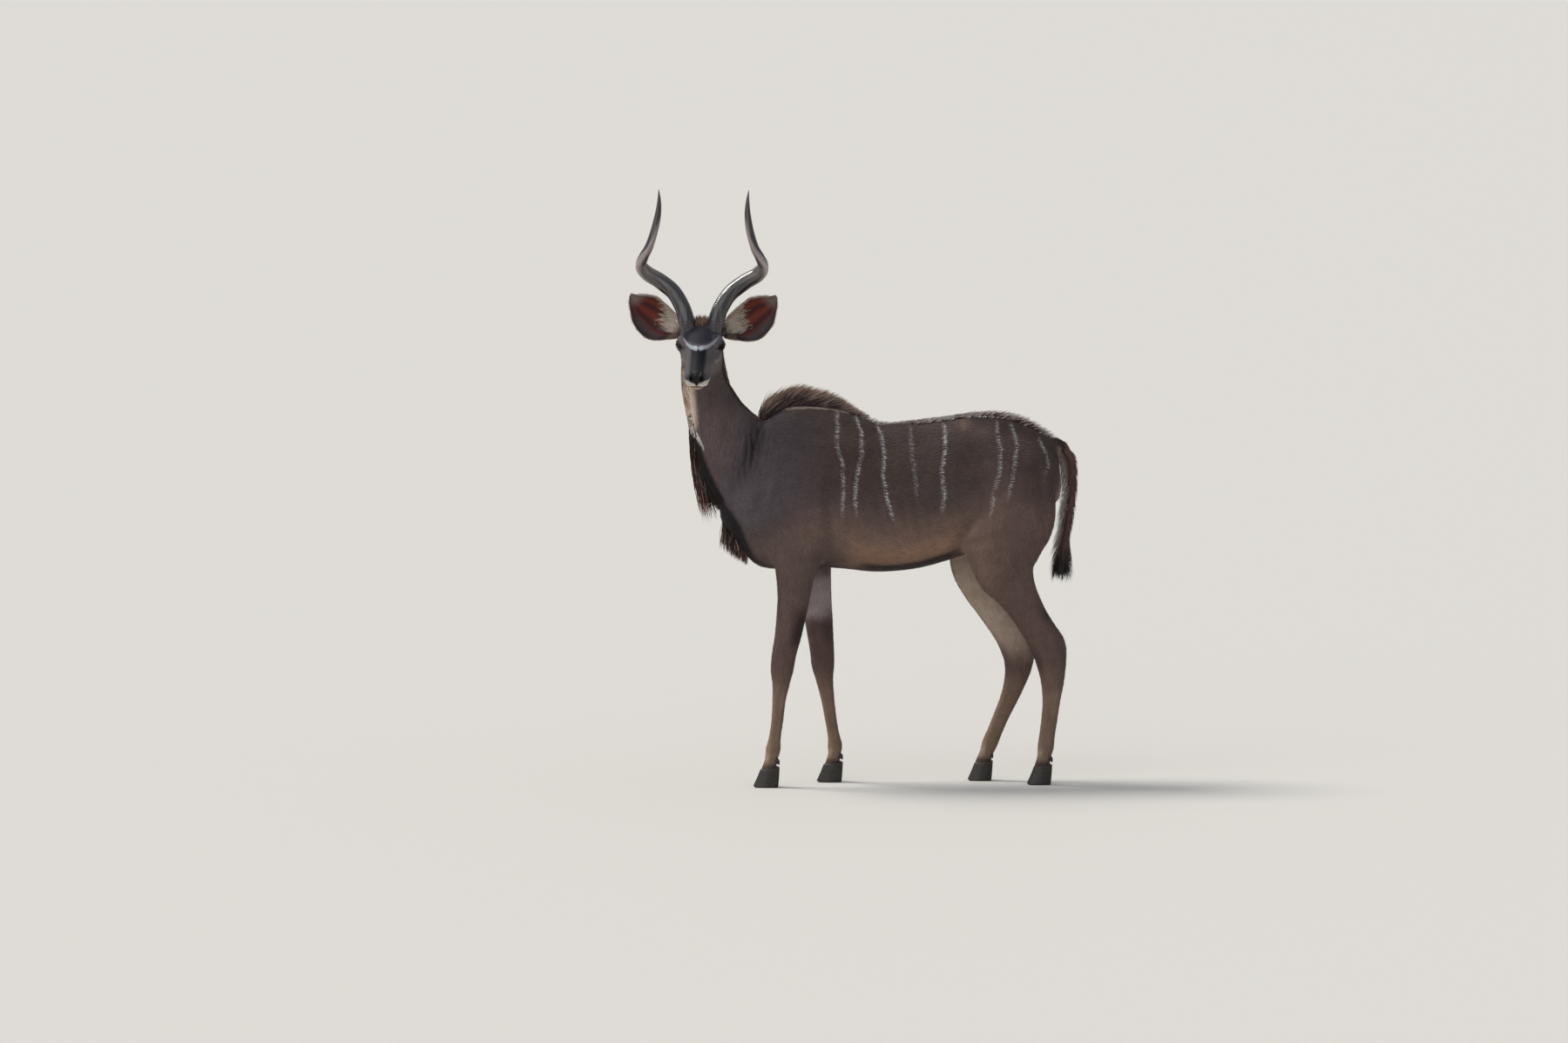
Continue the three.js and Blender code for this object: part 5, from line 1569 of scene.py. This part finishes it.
def horn_pieces():
    sides, rings = 44, 300
    for name, side in (("horn_left", 1), ("horn_right", -1)):
        t = np.linspace(0.15, len(HORN) - 1, rings)
        r = between(HORN, t)
        centre = in_level(side, r[:, 0], r[:, 1], r[:, 2])
        along = unit(np.gradient(centre, axis=0))
        ahead = unit(np.cross(along, LEVEL_TURN @ np.array([side * 1.0, 0, 0])))
        wide = np.cross(ahead, along)
        keel = np.radians(-80 + 400 * t / (len(HORN) - 1))[:, None]
        angle = np.arange(sides)[None, :] / sides * 2 * math.pi + keel
        off = (angle - keel + math.pi) % (2 * math.pi) - math.pi
        ridge = np.exp(-((off / 0.46) ** 2))
        second = np.exp(-(((off + 2.5 + math.pi) % (2 * math.pi) - math.pi) / 0.5) ** 2)
        length = np.concatenate([[0], np.cumsum(np.linalg.norm(np.diff(centre, axis=0), axis=1))])
        low = fall(60, 320, length)[:, None]
        rings_wave = np.sin(length / 8.5 * 2 * math.pi + 0.8 * np.sin(length / 31))[:, None] * low
        far = np.tile(length[:, None], (1, sides))
        round_horn = np.stack([np.cos(angle) * 26, np.sin(angle) * 26, far], -1)
        dents = noise3(round_horn.reshape(-1, 3), 16, 8).reshape(rings, sides)
        scale = (r[:, 3] / 2 * (1 + 0.08 * fall(60, 260, length)))[:, None]
        radius = scale * (0.93 + 0.26 * ridge + 0.07 * second) + 0.3 * rings_wave * (1 - ridge)
        radius = np.maximum(radius + 0.35 * dents * low - 0.4, 0.8)
        verts = (centre[:, None] + ahead[:, None] * (radius * np.cos(angle) * side)[..., None]
                 + wide[:, None] * (radius * np.sin(angle))[..., None])
        points = np.concatenate([verts.reshape(-1, 3), centre[[-1]] + along[[-1]] * 1.5])
        i = np.arange(sides)
        tip = np.stack([(rings - 1) * sides + i, (rings - 1) * sides + (i + 1) % sides,
                        np.full(sides, rings * sides)], 1)
        obj = mesh_object(name + "_fine", place(points), [grid_faces(rings, sides), tip])
        face_outward(obj.data)
        span = length / length[-1]
        down_horn = np.tile((span * 3.0)[:, None], (1, sides))
        grain = np.stack([np.cos(off) * 2.2, np.sin(off) * 2.2, down_horn], -1)
        grain = np.concatenate([grain.reshape(-1, 3), [[0, 0, 3.0]]])
        # Paler keel and bend, partly wear and partly painted highlight.
        bend = bell(span, 0.52, 0.12)[:, None]
        wear_and_highlight = 0.62 * ridge * (0.35 + 0.65 * smooth(0.05, 0.4, span))[:, None] + bend * (0.3 + 0.45 * ridge)
        wear_and_highlight = wear_and_highlight * fall(0.75, 0.92, span)[:, None]
        wear_and_highlight = np.concatenate([wear_and_highlight.reshape(-1), [0.0]])
        set_floats(obj.data, "grain", grain)
        upper = np.append(np.repeat(smooth(0.58, 0.7, span), sides), 1.0)
        set_floats(obj.data, "wear_and_highlight", np.stack([wear_and_highlight, upper, 0 * wear_and_highlight], 1))
        dress(obj, "horn", HORN_FINISH, name)


horn_pieces()


# A claw of a hoof: half length and half width at the ground, the leg's place ahead of its middle,
# half the way between two claws, height at the leg and its slope toward the heel.
CLAW = {"long": 44, "wide": 15, "ahead": 34, "apart": 19.5, "tall": 64, "slope": 0.16}
CLAW_KNOTS = [[0, 0.955, 0], [1.5, 0.99, 0], [5, 1, 0], [38, 0.86, 9], [78, 0.7, 18]]  # z, size, shift back


def hoof_pieces():
    """Two claws to a foot, each a rounded wedge with growth rings, and two dewclaws behind."""
    knots = np.array(CLAW_KNOTS)
    for leg_name, (rows, side) in LEGS.items():
        foot_x, foot_y = rows[-1][0], side * rows[-1][1]
        scale = 0.95 if leg_name.startswith("hind") else 1.0
        for place_side in (-1, 1):
            sides, rings = 48, 26
            high = np.linspace(0, 1, rings) ** 0.8
            angle = np.linspace(0, 2 * math.pi, sides, endpoint=False)
            c = np.cos(angle)
            pinch = np.where(c < 0, 1 - 0.45 * c * c, 1 - 0.15 * c * c)
            loops = []
            for h in high:
                # The coronet slopes: higher at the heel than at the toe.
                x_guess = foot_x - CLAW["long"] + CLAW["ahead"] + 9 + c * CLAW["long"] * scale * 0.8
                top = CLAW["tall"] + CLAW["slope"] * (x_guess - foot_x + 40)
                z = h * top
                grow = np.interp(z, knots[:, 0], knots[:, 1])
                shift = np.interp(z, knots[:, 0], knots[:, 2])
                ripple = 1 + 0.012 * np.sin(z / 4.2 * math.pi) * smooth(4, 12, z)
                x = foot_x - CLAW["long"] + CLAW["ahead"] + shift + c * CLAW["long"] * scale * grow * ripple
                y = (foot_y + place_side * CLAW["apart"]
                     + CLAW["wide"] * grow * pinch * np.sin(angle) * ripple)
                loops.append(np.stack([x, y, z], 1))
            verts = np.array(loops)
            points = np.concatenate([verts.reshape(-1, 3), verts[0].mean(0)[None], verts[-1].mean(0)[None]])
            which = "inner" if place_side * side < 0 else "outer"
            node = f"hoof_{leg_name}_{which}"
            obj = mesh_object(node + "_fine", place(points), tube_faces(rings, sides))
            dress(obj, "hoof", HOOF_FINISH, node)
            claw, faces = ball((0, 0, 0), (8.5, 8, 15))
            claw[:, :2] *= (1 - 0.45 * smooth(0, -15, claw[:, 2]))[:, None]
            claw = claw @ turn("y", math.radians(-28)).T + [foot_x + 31, foot_y + place_side * 13, 96]
            small = mesh_object(f"dewclaw_{leg_name}_{which}", place(claw), faces)
            dress(small, "hoof", HOOF_FINISH)


hoof_pieces()


def eye_pieces():
    for name, side in (("eye_left", 1), ("eye_right", -1)):
        points, faces = ball((0, 0, 0), (1, 1, 1), rings=40, sides=56)
        # In the eye's own frame: toward the nose, up, and along the gaze.
        cornea = 1 + 0.05 * bell(np.arccos(np.clip(points[:, 2], -1, 1)), 0, 0.5)
        local = points * cornea[:, None] * (EYE_RADIUS - 0.5)
        frame_axes = np.stack([EYE_ACROSS, EYE_TALL, EYE_GAZE]) * np.array([side, 1, 1])
        turned = local @ frame_axes @ FACE_TURN.T
        at = in_face(side, *EYE_AT)
        obj = mesh_object(name + "_fine", place(turned + at), faces)
        set_floats(obj.data, "look", points)
        dress(obj, "eye", EYE_FINISH, name)
        lid_rims(name, frame_axes, at)


def lid_rims(name, frame_axes, at):
    """The lids' edges: a dark tube round the opening, thicker above."""
    count, sides = 96, 10
    a = np.linspace(0, 2 * math.pi, count, endpoint=False)
    across = LID["half"] * 1.03 * np.cos(a)
    tall = np.where(np.sin(a) > 0, LID["upper"], LID["lower"]) * np.sin(a) * (1 - 0.12 * np.cos(a)) * 1.03
    reach = EYE_RADIUS + 0.9
    toward = np.sqrt(np.maximum(reach ** 2 - across ** 2 - tall ** 2, 25))
    line = np.stack([across, tall, toward], 1)
    along = unit(np.roll(line, -1, 0) - np.roll(line, 1, 0))
    out = unit(line)
    sidew = np.cross(along, out)
    thick = 1.5 + 0.8 * smooth(0.1, 0.9, np.sin(a))
    b = np.linspace(0, 2 * math.pi, sides, endpoint=False)
    ring = (line[:, None] + out[:, None] * (np.cos(b)[None, :, None] * thick[:, None, None])
            + sidew[:, None] * (np.sin(b)[None, :, None] * thick[:, None, None] * 1.5))
    verts = ring.reshape(-1, 3) @ frame_axes @ FACE_TURN.T + at
    k = np.arange(count)[:, None]
    k2 = (k + 1) % count
    i = np.arange(sides)[None, :]
    i2 = (i + 1) % sides
    faces = np.stack(np.broadcast_arrays(k * sides + i, k * sides + i2, k2 * sides + i2, k2 * sides + i),
                     -1).reshape(-1, 4)
    obj = mesh_object(name + "_lids", place(verts), faces)
    face_outward(obj.data)
    set_coat(obj.data, np.tile(LINEAR["black"], (len(verts), 1)), NO_STRIPE, 0.8)
    dress(obj, "coat", COAT)
    # Lashes along the upper lid.
    n = 60
    pick = rng.integers(4, count // 2 - 4, n)
    root = line[pick] + out[pick] * 1.5
    lean = out[pick] * 0.9 + np.stack([-0.25 * np.cos(a[pick]), np.full(n, 0.35), np.zeros(n)], 1)
    root = root @ frame_axes @ FACE_TURN.T + at
    lean = lean @ frame_axes @ FACE_TURN.T
    down = np.tile([0, 0, -1.0], (n, 1))
    hair(name + "_lashes", root, lean, unit(unit(lean) + 0.35 * down), np.cross(lean, down),
         rng.uniform(6, 10, n), np.full(n, 0.6), 3, 0.4,
         (drawn("black", "mane", n), drawn("black", "rust", n, 0.4)), sink=1)


eye_pieces()


def stage():
    reach = 150
    corners = np.array([[-1, -1, 0], [1, -1, 0], [1, 1, 0], [-1, 1, 0.0]]) * reach
    floor = mesh_object("floor", corners, np.array([[0, 1, 2, 3]]))
    finish = Finish("floor", Base_Color=rgba(196, 194, 190), Roughness=0.8)
    floor.data.materials.append(finish.material)
    world = bpy.data.worlds.new("studio")
    bpy.context.scene.world = world
    world.use_nodes = True
    background = next(n for n in world.node_tree.nodes if n.type == "BACKGROUND")
    background.inputs["Color"].default_value = (0.93, 0.96, 1.0, 1)
    background.inputs["Strength"].default_value = 0.5
    # The key stands high, a little behind; the fill lies wide on the camera's side.
    for name, at, strength, spread, colour in (
        ("key", (-3.2, 1.6, 5.2), 2.8, 25, (1.0, 0.96, 0.9)),
        ("fill", (-4.0, -6.0, 4.0), 0.8, 60, (1.0, 0.99, 0.98)),
    ):
        light = bpy.data.lights.new(name, "SUN")
        light.energy, light.angle, light.color = strength, math.radians(spread), colour
        obj = bpy.data.objects.new(name, light)
        obj.rotation_euler = (-Vector(at)).to_track_quat("-Z", "Y").to_euler()
        bpy.context.scene.collection.objects.link(obj)
    camera = bpy.data.cameras.new("camera")
    camera.sensor_width = 36.0
    camera.lens = 36.0 * DISTANCE / (PHOTO_SIZE[0] * PIXEL)
    camera.clip_end = 500
    obj = bpy.data.objects.new("camera", camera)
    target = ACROSS * CENTRE[0] + UPWARD * CENTRE[1]
    at = target + TOWARD * DISTANCE
    turned = np.eye(4)
    turned[:3, 0], turned[:3, 1], turned[:3, 2], turned[:3, 3] = ACROSS, UPWARD, TOWARD, at
    obj.matrix_world = Matrix(turned.tolist())
    bpy.context.scene.collection.objects.link(obj)
    bpy.context.scene.camera = obj
    bpy.context.scene.view_settings.view_transform = "Standard"
    bpy.context.scene.view_settings.exposure = 0.0


stage()
